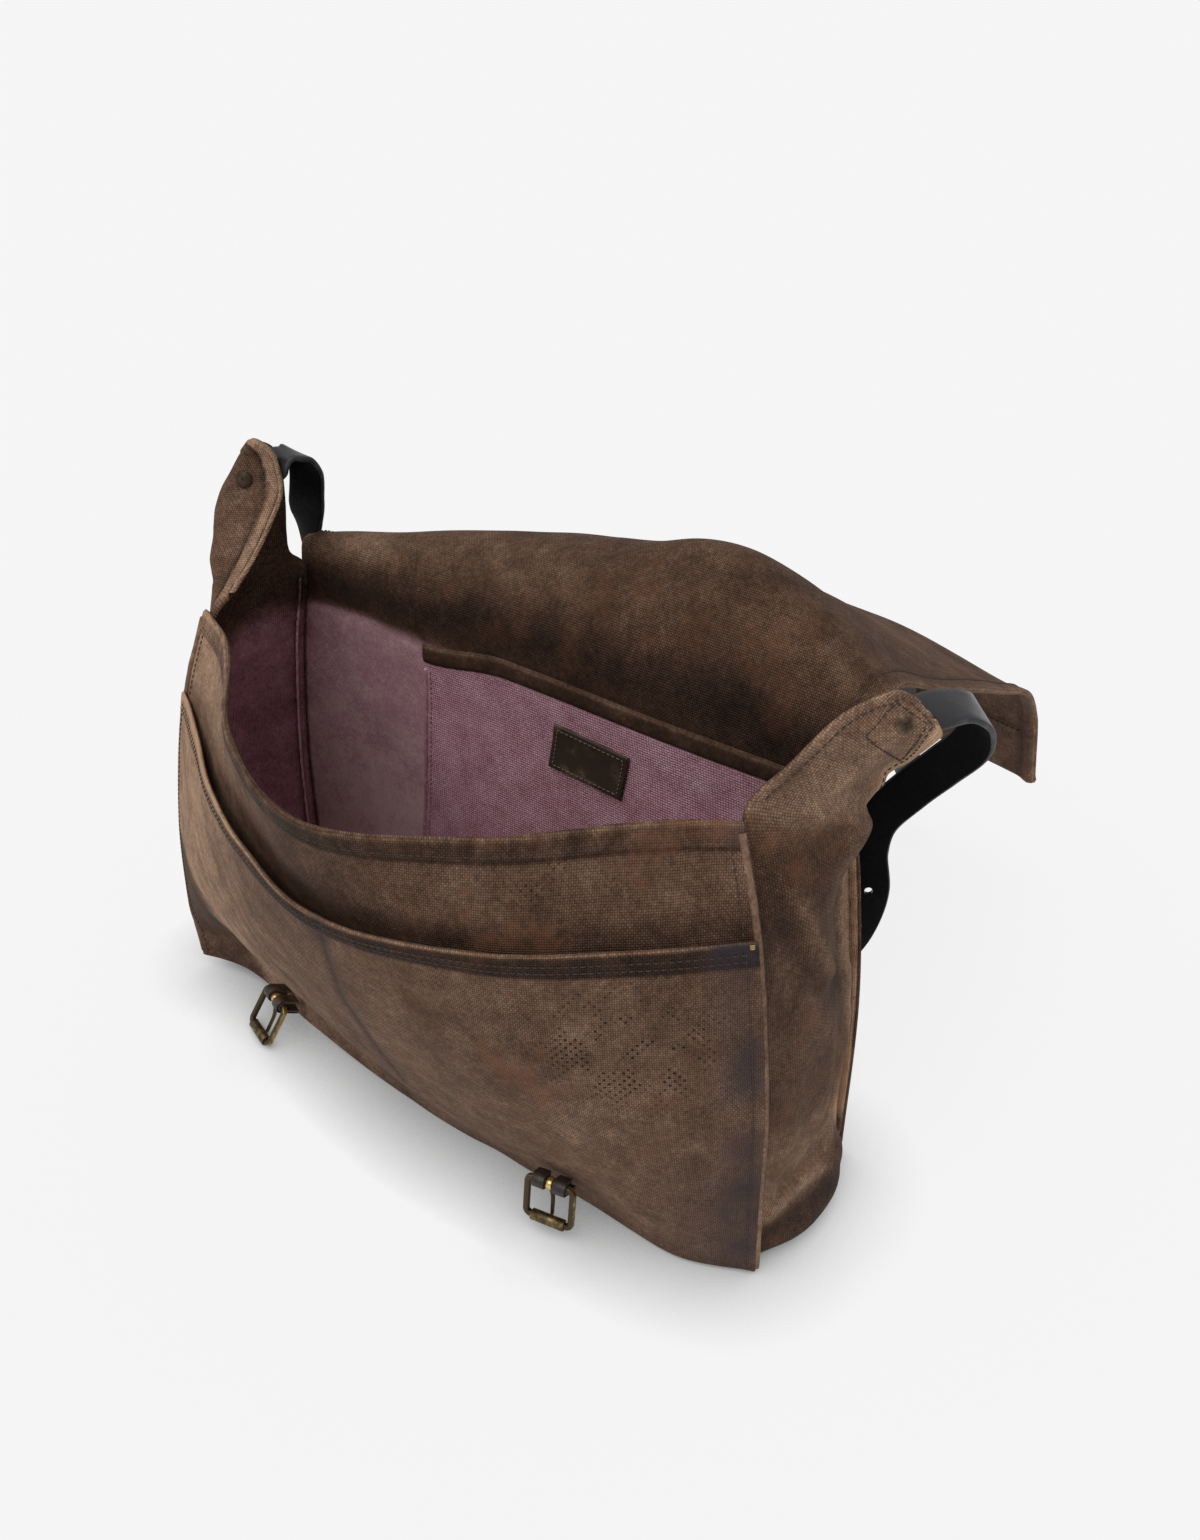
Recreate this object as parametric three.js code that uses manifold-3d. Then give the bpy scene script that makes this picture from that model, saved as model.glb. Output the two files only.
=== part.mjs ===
// Waxed canvas messenger bag standing open, its flap thrown over the back.
// Millimetres. +Z is up, the front faces -Y, the floor is z = 0 under the middle of the base.
import * as THREE from "three";
import initManifold from "manifold-3d";

const wasm = await initManifold();
wasm.setup();

const CANVAS = 2.0; // wall of waxed canvas, doubled seams left out
const GAP = 0.4; // air kept between sewn pieces
const FLANGE = 5; // how far the panels stand proud of the gusset at the raised seams
const LEATHER = 2.6;
const STRAP_WIDTH = 22;
const STRAP_THICK = 3.0;

const vec = (x, y, z) => new THREE.Vector3(x, y, z);

// Smooth curve through values at rising knots.
function smooth(knots, values, at) {
  const last = knots.length - 1;
  let i = 0;
  while (i < last - 1 && at > knots[i + 1]) i += 1;
  const slope = (k) => {
    const lo = Math.max(0, k - 1);
    const hi = Math.min(last, k + 1);
    return (values[hi] - values[lo]) / (knots[hi] - knots[lo]);
  };
  const width = knots[i + 1] - knots[i];
  const s = Math.min(1, Math.max(0, (at - knots[i]) / width));
  const s2 = s * s;
  const s3 = s2 * s;
  return (
    (2 * s3 - 3 * s2 + 1) * values[i] +
    (s3 - 2 * s2 + s) * width * slope(i) +
    (3 * s2 - 2 * s3) * values[i + 1] +
    (s3 - s2) * width * slope(i + 1)
  );
}

const column = (rows, name) => rows.map((row) => row[name]);
const curve = (rows, key, name, at) => smooth(column(rows, key), column(rows, name), at);

// Smooth surface value from rows that each hold one number per station across.
function blend(rows, key, name, stations, across, at) {
  const values = rows.map((row) => smooth(stations, row[name], across));
  return smooth(column(rows, key), values, at);
}

const ramp = (lo, hi, at) => THREE.MathUtils.smoothstep(at, lo, hi);

// FRONT PANEL: rows climb from the bottom seam to the mouth; height and depth
// are given at the seven stations of ACROSS, left to right.
const ACROSS = [-1, -0.8, -0.45, 0, 0.45, 0.8, 1];
const FRONT = [
  { up: 0, left: 205, right: 201, height: [8, 8, 4, 2, 2, 2, 2],
    depth: [-46, -40, -51, -58, -59, -59, -46] },
  { up: 0.08, left: 208, right: 201, height: [27, 31, 26, 22, 22, 22, 21],
    depth: [-45, -40, -50, -66, -67, -64, -47] },
  { up: 0.18, left: 209, right: 200, height: [48, 66, 58, 50, 49, 48, 46],
    depth: [-45, -58, -70, -81, -79, -70, -47] },
  { up: 0.45, left: 202, right: 197, height: [118, 116, 116, 116, 116, 116, 118],
    depth: [-44, -68, -92, -106, -102, -76, -45] },
  { up: 0.8, left: 181, right: 184, height: [208, 206, 201, 198, 201, 206, 208],
    depth: [-41, -62, -98, -123, -107, -70, -40] },
  { up: 1, left: 167, right: 167, height: [258, 256, 250, 248, 251, 256, 258],
    depth: [-31, -48, -101, -130, -99, -51, -31] },
];
const POCKET_TOP = 0.8;
const POCKET_GAP = 0.9;
const POCKET_GAPE = [0, 3, 6, 5, 3, 1, 0]; // how far the pocket's mouth stands off the panel

const halfAt = (across, up) => curve(FRONT, "up", across < 0 ? "left" : "right", up);
function front(across, up) {
  return vec(
    across * halfAt(across, up),
    blend(FRONT, "up", "depth", ACROSS, across, up),
    blend(FRONT, "up", "height", ACROSS, across, up),
  );
}

// BACK PANEL AND FLAP: one cloth, from the bottom seam up the back, over the crest and down to the free edge.
const BACK_ACROSS = [-1, -0.5, 0, 0.5, 1];
const BACK = [
  { run: 0, half: 198, depth: [50, 52, 53, 52, 50], height: [3, 3, 3, 3, 3] },
  { run: 105, half: 197, depth: [50, 55, 57, 55, 50], height: [108, 108, 108, 108, 108] },
  { run: 185, half: 189, depth: [50, 53, 55, 53, 50], height: [188, 188, 188, 188, 188] },
  { run: 250, half: 178, depth: [51, 53, 55, 54, 51], height: [249, 253, 255, 256, 252] },
  { run: 296, half: 180, depth: [61, 82, 97, 100, 82], height: [263, 277, 289, 306, 274] },
  { run: 356, half: 184, depth: [100, 135, 150, 152, 146], height: [240, 261, 275, 275, 244] },
  { run: 440, half: 186, depth: [178, 205, 217, 224, 225], height: [195, 222, 234, 228, 205] },
  { run: 525, half: 186, depth: [255, 274, 283, 290, 291], height: [135, 170, 182, 181, 165] },
  { run: 610, half: 185, depth: [292, 307, 315, 321, 327], height: [55, 90, 102, 103, 87] },
];
const RIM_RUN = 250;
const FLAP_END = 610;

function back(across, run) {
  return vec(
    across * curve(BACK, "run", "half", run),
    blend(BACK, "run", "depth", BACK_ACROSS, across, run),
    blend(BACK, "run", "height", BACK_ACROSS, across, run),
  );
}
const backAt = (across, height) => back(across, Math.max(0, height - 3));

// GUSSET: one strip from tongue to tongue under the bag. Each row is a station across the strip from the
// front seam to the back seam; swell is how far it stands out at a quarter, half and three quarters.
const QUARTERS = [0, 0.25, 0.5, 0.75, 1];
const LEFT_SIDE = [
  { up: 0.98, swell: [19, 20, 13] },
  { up: 0.8, swell: [7, 11, 7] },
  { up: 0.6, swell: [7, 10, 7] },
  { up: 0.4, swell: [6, 9, 6] },
  { up: 0.18, swell: [4, 6, 4] },
];
const RIGHT_SIDE = [
  { up: 0.17, swell: [4, 6, 5] },
  { up: 0.3, swell: [7, 11, 9] },
  { up: 0.5, swell: [9, 13, 5] },
  { up: 0.75, swell: [9, 14, 5] },
  { up: 0.92, swell: [14, 23, 30] },
];
const LEFT_TONGUE = [
  { front: [-174, 34, 333], back: [-184, 48, 322], swell: [9, 11, 6] },
  { front: [-169, 34, 307], back: [-185, 50, 304], swell: [26, 29, 17] },
  { front: [-166, 21, 292], back: [-185, 49, 286], swell: [28, 31, 19] },
  { front: [-165, 4, 276], back: [-184, 46, 270], swell: [25, 27, 17] },
  { front: [-165, -12, 264], back: [-183, 46, 258], swell: [18, 19, 12] },
];
const RIGHT_TONGUE = [
  { front: [166, -24, 262], back: [195, 42, 247], swell: [9, 14, 14] },
  { front: [177, -9, 280], back: [199, 43, 257], swell: [6, 9, 5] },
  { front: [190, 8, 300], back: [209, 43, 268], swell: [4, 6, 3] },
  { front: [199, 28, 303], back: [220, 35, 285], swell: [2, 3, 2] },
  { front: [203, 42, 301], back: [224, 38, 291], swell: [1, 1, 1] },
];
const LEFT_OUT = vec(-0.75, -0.66, 0);
const RIGHT_OUT = vec(0.81, -0.58, 0);
const FLOOR_REACH = 0.3; // share of the base's depth over which its raised front edge comes down to the floor

function station(frontEdge, backEdge, out, swell) {
  const bulge = [0, ...swell, 0];
  return (t) => frontEdge.clone().lerp(backEdge, t).addScaledVector(out, smooth(QUARTERS, bulge, t));
}

const seamInset = (side, up) => side * (1 - FLANGE / halfAt(side, up));
const fromFront = vec(0, CANVAS / 2 + GAP + 1.7, 0);
const fromBack = vec(0, -(CANVAS / 2 + GAP + 1.0), 0);

function sideStation(row, side) {
  const inset = seamInset(side, row.up);
  const frontEdge = front(inset, row.up).add(fromFront);
  const backEdge = backAt(inset, frontEdge.z).add(fromBack);
  return station(frontEdge, backEdge, vec(side, 0, 0), row.swell);
}

function baseStation(across) {
  const frontEdge = front(across, 0).add(fromFront);
  const backEdge = backAt(across, 0).add(fromBack);
  const lift = Math.max(0, frontEdge.z - CANVAS / 2);
  return (t) => {
    const p = frontEdge.clone().lerp(backEdge, t);
    const fall = Math.max(0, 1 - t / FLOOR_REACH);
    p.z = CANVAS / 2 + lift * fall * fall;
    return p;
  };
}

function cornerStation(side, flare) {
  const inset = seamInset(side, 0.05);
  const frontEdge = front(inset, 0.04).add(fromFront);
  const backEdge = backAt(inset, 9).add(fromBack);
  return station(frontEdge, backEdge, vec(side, 0, -0.1), flare);
}

const tongueStation = (row, out) => station(vec(...row.front), vec(...row.back), out, row.swell);

const STRIP = [
  ...LEFT_TONGUE.map((row) => tongueStation(row, LEFT_OUT)),
  ...LEFT_SIDE.map((row) => sideStation(row, -1)),
  cornerStation(-1, [4, 6, 4]),
  ...[-0.93, -0.7, -0.35, 0, 0.35, 0.7, 0.93].map(baseStation),
  cornerStation(1, [14, 18, 15]),
  ...RIGHT_SIDE.map((row) => sideStation(row, 1)),
  ...RIGHT_TONGUE.map((row) => tongueStation(row, RIGHT_OUT)),
];
const STRIP_KNOTS = STRIP.map((_, i) => i);

// q runs along the strip in stations, t across it from the front seam to the back seam.
function strip(q, t) {
  const points = STRIP.map((at) => at(t));
  const at = vec(...["x", "y", "z"].map((axis) => smooth(STRIP_KNOTS, points.map((p) => p[axis]), q)));
  at.z = Math.max(at.z, CANVAS / 2);
  return at;
}

function normalOf(surface, u, v, step) {
  const du = surface(u + step[0], v).sub(surface(u - step[0], v));
  const dv = surface(u, v + step[1]).sub(surface(u, v - step[1]));
  return du.cross(dv).normalize();
}

// Closed wall around a grid of mid points: both faces and the rim. wall(u, v) is its thickness there.
function wallFrom(surface, us, vs, wall, step) {
  const cols = us.length;
  const points = [];
  for (const side of [0.5, -0.5]) {
    for (const v of vs) {
      for (const u of us) {
        const n = normalOf(surface, u, v, step);
        points.push(surface(u, v).addScaledVector(n, side * wall(u, v)));
      }
    }
  }
  const half = cols * vs.length;
  const index = [];
  const quad = (a, b, c, d) => index.push(a, b, c, a, c, d);
  for (let j = 0; j < vs.length - 1; j += 1) {
    for (let i = 0; i < cols - 1; i += 1) {
      const a = j * cols + i;
      quad(a, a + 1, a + cols + 1, a + cols);
      quad(half + a, half + a + cols, half + a + cols + 1, half + a + 1);
    }
  }
  const rim = [];
  for (let i = 0; i < cols - 1; i += 1) rim.push(i);
  for (let j = 0; j < vs.length - 1; j += 1) rim.push(j * cols + cols - 1);
  for (let i = cols - 1; i > 0; i -= 1) rim.push((vs.length - 1) * cols + i);
  for (let j = vs.length - 1; j > 0; j -= 1) rim.push(j * cols);
  rim.forEach((a, k) => {
    const b = rim[(k + 1) % rim.length];
    quad(a, half + a, half + b, b);
  });
  return closed(points, index);
}

function closed(points, index) {
  const geometry = new THREE.BufferGeometry();
  geometry.setAttribute("position", new THREE.Float32BufferAttribute(points.flatMap((p) => p.toArray()), 3));
  geometry.setIndex(index);
  if (volumeOf(geometry) < 0) {
    const flipped = [];
    for (let i = 0; i < index.length; i += 3) flipped.push(index[i], index[i + 2], index[i + 1]);
    geometry.setIndex(flipped);
  }
  return geometry;
}

function volumeOf(geometry) {
  const at = geometry.attributes.position;
  const index = geometry.index.array;
  const [a, b, c] = [vec(), vec(), vec()];
  let sum = 0;
  for (let i = 0; i < index.length; i += 3) {
    a.fromBufferAttribute(at, index[i]);
    b.fromBufferAttribute(at, index[i + 1]);
    c.fromBufferAttribute(at, index[i + 2]);
    sum += a.dot(b.cross(c)) / 6;
  }
  return sum;
}

const steps = (lo, hi, count) => Array.from({ length: count + 1 }, (_, i) => lo + ((hi - lo) * i) / count);
const even = (thickness) => () => thickness;

const FINE = [0.002, 0.002];
const group = new THREE.Group();
group.name = "messenger_bag";
function add(name, geometry) {
  const mesh = new THREE.Mesh(geometry, new THREE.MeshStandardMaterial());
  mesh.name = name;
  group.add(mesh);
}

const solidOf = (geometry) => {
  const vertProperties = new Float32Array(geometry.attributes.position.array);
  const triVerts = new Uint32Array(geometry.index.array);
  return new wasm.Manifold(new wasm.Mesh({ numProp: 3, vertProperties, triVerts }));
};

function geometryOf(solid) {
  const mesh = solid.getMesh();
  const points = [];
  for (let i = 0; i < mesh.vertProperties.length; i += mesh.numProp) {
    points.push(vec(mesh.vertProperties[i], mesh.vertProperties[i + 1], mesh.vertProperties[i + 2]));
  }
  return closed(points, Array.from(mesh.triVerts));
}

// Front panel with a doubled hem along the mouth.
const hemWall = (top, depth) => (u, up) => (up > top - depth ? CANVAS + 1.0 : CANVAS);
const PANEL_US = steps(-1, 1, 22);
const SHARED_UPS = [0.04, 0.08, 0.13, ...steps(0.18, 0.72, 6)];
const panelUps = [0, ...SHARED_UPS, 0.76, POCKET_TOP, 0.87, 0.94, 0.95, 0.999];
add("front_panel", wallFrom(front, PANEL_US, panelUps, hemWall(1, 0.055), FINE));

// Front pocket: a second layer that leaves the panel toward its open mouth.
function pocket(across, up) {
  const off = CANVAS + POCKET_GAP + smooth(ACROSS, POCKET_GAPE, across) * ramp(0.25, POCKET_TOP, up);
  const n = normalOf(front, across, up, FINE);
  return front(across, up).addScaledVector(n, n.y < 0 ? off : -off);
}
const pocketUs = [-0.994, ...PANEL_US.slice(1, -1), 0.994];
add("front_pocket", wallFrom(pocket, pocketUs, [0.006, ...SHARED_UPS, 0.76, POCKET_TOP], even(CANVAS), FINE));

// Back panel and flap in one cloth, with a wide doubled hem at the free edge.
const FLAP_HEM = 46;
const HEM_RUN = FLAP_END - FLAP_HEM;
const crestRuns = [262, 274, 285, 296, 308, 322, 338, 356];
const fallRuns = [...steps(384, 545, 6), HEM_RUN, HEM_RUN + 1, 588, FLAP_END];
const flapRuns = [...steps(0, RIM_RUN, 7), ...crestRuns, ...fallRuns];
const flapWall = (u, run) => (run > HEM_RUN + 0.5 ? CANVAS * 2 : CANVAS);
add("back_and_flap", wallFrom(back, steps(-1, 1, 18), flapRuns, flapWall, [0.002, 0.5]));

// Gusset strip with its two tongues.
const LAST = STRIP.length - 1;
const stripQs = steps(0, LAST, LAST * 2);
const gusset = solidOf(wallFrom(strip, stripQs, steps(0, 1, 8), even(CANVAS), FINE));

// Inner pocket on the back panel, its bound top edge and the bare label patch.
const INNER_POCKET = { left: -84, leftLow: -102, right: 0.95, low: 66, top: 225, dip: 9, dipLength: 60 };
const INNER_WALL = 1.4;
const BINDING = { height: 11, wall: 3.2 };
const onBack = (x, z, off) => {
  const half = curve(BACK, "run", "half", z - 3);
  return backAt(x / half, z).add(vec(0, -off, 0));
};
const POCKET_SLACK = 2.5; // how far the inner pocket sags off the back panel
const innerSpan = (z) => {
  const h = (z - INNER_POCKET.low) / (INNER_POCKET.top - INNER_POCKET.low);
  const left = INNER_POCKET.leftLow + (INNER_POCKET.left - INNER_POCKET.leftLow) * h;
  const right = INNER_POCKET.right * curve(BACK, "run", "half", z - 3) - 4;
  return { h, left, right };
};
const innerOff = (s, h) => CANVAS / 2 + GAP + 0.4 + INNER_WALL / 2 + POCKET_SLACK * h * Math.sin(Math.PI * s);
function innerPocket(s, h) {
  const z = INNER_POCKET.low + (INNER_POCKET.top - INNER_POCKET.low) * h;
  const { left, right } = innerSpan(z);
  const x = left + (right - left) * s;
  const dip = INNER_POCKET.dip * h * (1 - ramp(0, INNER_POCKET.dipLength, x - left));
  return onBack(x, z - dip, innerOff(s, h));
}
add("inner_pocket", wallFrom(innerPocket, steps(0, 1, 16), steps(0, 1, 6), even(INNER_WALL), FINE));
const binding = (s, h) => {
  const top = innerPocket(s, 1);
  top.z += GAP + BINDING.height * h;
  return top.add(vec(0, -(BINDING.wall - INNER_WALL) / 2, 0));
};
add("inner_pocket_binding", wallFrom(binding, steps(0, 1, 16), steps(0, 1, 2), even(BINDING.wall), FINE));

const LABEL = { x: 28.5, z: 193, wide: 48, tall: 29, turn: -0.063, wall: 1.6 };
const label = (s, h) => {
  const [a, b] = [(s - 0.5) * LABEL.wide, (h - 0.5) * LABEL.tall];
  const x = LABEL.x + a * Math.cos(LABEL.turn) - b * Math.sin(LABEL.turn);
  const z = LABEL.z + a * Math.sin(LABEL.turn) + b * Math.cos(LABEL.turn);
  const { h: rise, left, right } = innerSpan(z);
  const off = innerOff((x - left) / (right - left), rise) + INNER_WALL / 2 + GAP + 0.3 + LABEL.wall / 2;
  return onBack(x, z, off);
};
add("label_patch", wallFrom(label, steps(0, 1, 4), steps(0, 1, 3), even(LABEL.wall), FINE));

// SHOULDER STRAP: from inside the left tongue, down behind the bag, along the floor and up to the
// right tongue. wide is the direction of the ribbon's width.
const TUCK = GAP + 1.2;
const RIGHT_SLACK = 2.5; // the right tongue curls, so the strap's end lies deeper in it
const sinkOf = (side) => CANVAS / 2 + TUCK + STRAP_THICK / 2 + (side < 0 ? 0 : RIGHT_SLACK);
function outOf(q, t, side) {
  const n = normalOf(strip, q, t, FINE);
  return n.dot(side < 0 ? LEFT_OUT : RIGHT_OUT) > 0 ? n : n.negate();
}
function tucked(q, t, side) {
  return strip(q, t).addScaledVector(outOf(q, t, side), -sinkOf(side));
}
const STRAP_RUN = [
  { at: [-171, 44, 322], wide: [0.85, -0.5, 0] },
  { at: [-170, 51, 319], wide: [0.95, -0.2, 0.1] },
  { at: [-171, 56, 309], wide: [0.96, 0.1, 0.15] },
  { at: [-178, 61, 290], wide: [0.97, 0.1, 0.2] },
  { at: [-188, 68, 273], wide: [0.97, 0, 0.2] },
  { at: [-197, 75, 252], wide: [0.9, -0.4, 0] },
  { at: [-197, 77, 215], wide: [0.75, -0.65, 0] },
  { at: [-198, 84, 155], wide: [0.5, -0.87, 0] },
  { at: [-196, 89, 85], wide: [0.15, -1, 0] },
  { at: [-190, 90, 36], wide: [0, -1, 0] },
  { at: [-171, 90, 9], wide: [0, -1, 0] },
  { at: [-140, 90, 2.6], wide: [0, -1, 0] },
  { at: [-112, 90, 1.7], wide: [0, -1, 0] },
  { at: [-60, 90, 1.7], wide: [0, -1, 0] },
  { at: [20, 90, 1.7], wide: [0, -1, 0] },
  { at: [60, 90, 1.7], wide: [0, -1, 0] },
  { at: [88, 90, 2.6], wide: [0, -1, 0] },
  { at: [120, 90, 9], wide: [0, -1, 0] },
  { at: [144, 88, 36], wide: [-0.2, -1, 0.1] },
  { at: [160, 85, 80], wide: [-0.5, -0.85, 0.1] },
  { at: [176, 84, 122], wide: [-0.7, -0.65, 0.1] },
  { at: [180, 86, 151], wide: [-0.8, -0.5, 0] },
  { at: [175, 90, 171], wide: [-0.8, -0.4, 0.2] },
  { at: [176, 95, 188], wide: [-0.78, -0.2, 0.5] },
  { at: [189, 102, 209], wide: [-0.75, 0, 0.65] },
  { at: [203, 103, 228], wide: [-0.75, 0.02, 0.66] },
  { at: [217, 98, 249], wide: [-0.82, 0.06, 0.56] },
  { at: [223, 90, 268], wide: [-0.79, 0.4, 0.47] },
  { at: [224, 77, 281], wide: [-0.8, 0.47, 0.37] },
  { at: [219, 64, 288], wide: [-0.89, 0.38, 0.25] },
].map((row) => ({ at: vec(...row.at), wide: vec(...row.wide).normalize() }));
// Where the strap lies inside the tongues, as q and t on the gusset strip.
const LEFT_TUCK = [{ q: 1.3, t: 0.18 }, { q: 0.95, t: 0.13 }, { q: 0.6, t: 0.04 }];
const RIGHT_TUCK = [{ q: LAST - 0.05, t: 0.4 }, { q: LAST - 1.7, t: 0.44 }];
const acrossTongue = (q, t) => strip(q, t + FINE[1]).sub(strip(q, t - FINE[1])).normalize();
const tuckedRun = (rows, side) => rows.map(({ q, t }) => (
  { at: tucked(q, t, side), wide: acrossTongue(q, t) }
));
const STRAP = [...tuckedRun(LEFT_TUCK, -1), ...STRAP_RUN, ...tuckedRun(RIGHT_TUCK, 1)];
const faceAlike = (i, beside) => {
  if (STRAP[i].wide.dot(STRAP[beside].wide) < 0) STRAP[i].wide.negate();
};
for (let i = LEFT_TUCK.length - 1; i >= 0; i -= 1) faceAlike(i, i + 1);
for (let i = STRAP.length - RIGHT_TUCK.length; i < STRAP.length; i += 1) faceAlike(i, i - 1);
const strapPath = new THREE.CatmullRomCurve3(STRAP.map((row) => row.at), false, "centripetal");
const STRAP_KNOTS = STRAP.map((_, i) => i / (STRAP.length - 1));
const STRAP_END = 0.62; // the strap narrows to this share of its width at its ends
const STRAP_TAPER = 0.1; // share of its run over which it does so
function strapFrame(s) {
  const at = strapPath.getPoint(s);
  const along = strapPath.getTangent(s);
  const hint = vec(...["x", "y", "z"].map((k) => smooth(STRAP_KNOTS, STRAP.map((row) => row.wide[k]), s)));
  const wide = hint.addScaledVector(along, -hint.dot(along)).normalize();
  const narrow = STRAP_END + (1 - STRAP_END) * ramp(0, STRAP_TAPER, Math.min(s, 1 - s));
  return { at, along, wide, up: wide.clone().cross(along), narrow };
}

// Bar of rectangular section swept through frames.
function ribbon(frames, wide, thick) {
  const points = [];
  for (const f of frames) {
    for (const [a, b] of [[-0.5, -0.5], [0.5, -0.5], [0.5, 0.5], [-0.5, 0.5]]) {
      const edge = f.at.clone().addScaledVector(f.wide, a * wide * (f.narrow ?? 1));
      points.push(edge.addScaledVector(f.up, b * thick));
    }
  }
  const index = [];
  for (let i = 0; i < frames.length - 1; i += 1) {
    for (let k = 0; k < 4; k += 1) {
      const [a, b] = [i * 4 + k, i * 4 + ((k + 1) % 4)];
      index.push(a, b, b + 4, a, b + 4, a + 4);
    }
  }
  const end = (frames.length - 1) * 4;
  index.push(0, 2, 1, 0, 3, 2, end, end + 1, end + 2, end, end + 2, end + 3);
  return closed(points, index);
}
const PUNCHED = [0.657, 0.682, 0.706]; // the strap's punched holes, as shares of its run
let strap = solidOf(ribbon(steps(0, 1, 84).map(strapFrame), STRAP_WIDTH, STRAP_THICK));

// Solid of revolution about local Z from a closed outline, then set on an axis.
function turned(outline, sides) {
  const points = [];
  const index = [];
  const n = outline.length;
  for (let i = 0; i < sides; i += 1) {
    const angle = (2 * Math.PI * i) / sides;
    for (const [r, z] of outline) points.push(vec(r * Math.cos(angle), r * Math.sin(angle), z));
    for (let k = 0; k < n; k += 1) {
      const [a, b] = [i * n + k, i * n + ((k + 1) % n)];
      const [c, d] = [((i + 1) % sides) * n + k, ((i + 1) % sides) * n + ((k + 1) % n)];
      index.push(a, b, d, a, d, c);
    }
  }
  return closed(points, index);
}
function placed(geometry, origin, xAxis, yAxis, zAxis) {
  const matrix = new THREE.Matrix4().makeBasis(xAxis, yAxis, zAxis).setPosition(origin);
  return geometry.applyMatrix4(matrix);
}
function onAxis(geometry, origin, axis) {
  const turn = new THREE.Quaternion().setFromUnitVectors(vec(0, 0, 1), axis);
  return geometry.applyMatrix4(new THREE.Matrix4().compose(origin, turn, vec(1, 1, 1)));
}
function post(radius, low, high) {
  const geometry = new THREE.CylinderGeometry(radius, radius, high - low, 12);
  const at = geometry.rotateX(Math.PI / 2).translate(0, 0, (low + high) / 2);
  return welded(at.toNonIndexed());
}
function welded(geometry) {
  const at = geometry.attributes.position;
  const seen = new Map();
  const points = [];
  const index = [];
  for (let i = 0; i < at.count; i += 1) {
    const p = vec().fromBufferAttribute(at, i);
    const key = p.toArray().map((c) => Math.round(c * 1e4)).join();
    if (!seen.has(key)) seen.set(key, points.push(p) - 1);
    index.push(seen.get(key));
  }
  return closed(points, index);
}

// Rivets: domed cap outside the tongue, shank through tongue and strap, washer inside.
const RIVET = {
  cap: 4.6, capTall: 1.4, capGap: 0.8, shank: 1.5, washer: 3.6, washerTall: 0.9,
  hole: 2.6, holeFrom: -12, holeTo: 5,
};
function rivet(q, t, side, washerGap) {
  const origin = strip(q, t);
  const axis = outOf(q, t, side);
  const cap = CANVAS / 2 + RIVET.capGap;
  const washer = -(sinkOf(side) + STRAP_THICK / 2 + washerGap);
  const outline = [
    [0.01, washer - RIVET.washerTall],
    [RIVET.washer, washer - RIVET.washerTall],
    [RIVET.washer, washer],
    [RIVET.shank, washer],
    [RIVET.shank, cap],
    [RIVET.cap, cap],
    [RIVET.cap * 0.86, cap + RIVET.capTall * 0.7],
    [RIVET.cap * 0.45, cap + RIVET.capTall],
    [0.01, cap + RIVET.capTall],
  ];
  const hole = solidOf(onAxis(post(RIVET.hole, RIVET.holeFrom, RIVET.holeTo), origin, axis));
  return { body: onAxis(turned(outline, 12), origin, axis), hole };
}
const leftRivet = rivet(0.85, 0.18, -1, 1.1);
const rightRivet = rivet(LAST - 1.15, 0.45, 1, 3.8);
const pierced = gusset.subtract(leftRivet.hole).subtract(rightRivet.hole);
strap = strap.subtract(leftRivet.hole).subtract(rightRivet.hole);
for (const s of PUNCHED) {
  const f = strapFrame(s);
  strap = strap.subtract(solidOf(onAxis(post(2.2, -4, 4), f.at, f.up)));
}
add("gusset_strip", geometryOf(pierced));
add("shoulder_strap", geometryOf(strap));
add("left_rivet", leftRivet.body);
add("right_rivet", rightRivet.body);

// BUCKLES: each hangs from a leather tab folded round its bar. turn is the bar's yaw, hang the frame's
// angle below level, dip the tab's; over and under are how far the tab's two leaves run back to the
// pocket, and slot how far its slot for the prong does.
const BUCKLES = [
  {
    side: "left", bar: [-123.4, -61.4, 23.9], turn: -0.375, hang: 0.995,
    dip: 0.5, over: 9.4, under: 11.6, slot: 7.6,
  },
  {
    side: "right", bar: [99, -84.2, 33], turn: 0.166, hang: 1.42,
    dip: 0.5, over: 4.5, under: 12.2, slot: 9.4,
  },
];
const FRAME = { wide: 26, long: 24.5, wire: 1.7, corner: 3 };
const ROLLER = { half: 9.6, bore: 1.78, out: 3.1 };
const PRONG = { bore: 1.78, out: 3.2, half: 1.7, thick: 1.25, past: -0.4 };
const TAB = { wide: 19, wall: LEATHER, bore: 1.78, slot: 5.0 };

function frameLoop() {
  const [w, l, c] = [FRAME.wide / 2, FRAME.long, FRAME.corner];
  const corners = [[-w, 0, 1, 1], [w, 0, -1, 1], [w, l, -1, -1], [-w, l, 1, -1]];
  const points = [];
  corners.forEach(([x, y, dx, dy], k) => {
    for (const share of steps(0, 1, 3)) {
      const angle = (share * Math.PI) / 2;
      const along = 1 - Math.sin(k % 2 ? angle : Math.PI / 2 - angle);
      const over = 1 - Math.cos(k % 2 ? angle : Math.PI / 2 - angle);
      points.push(vec(x + dx * c * along, y + dy * c * over, 0));
    }
  });
  return points;
}

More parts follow.
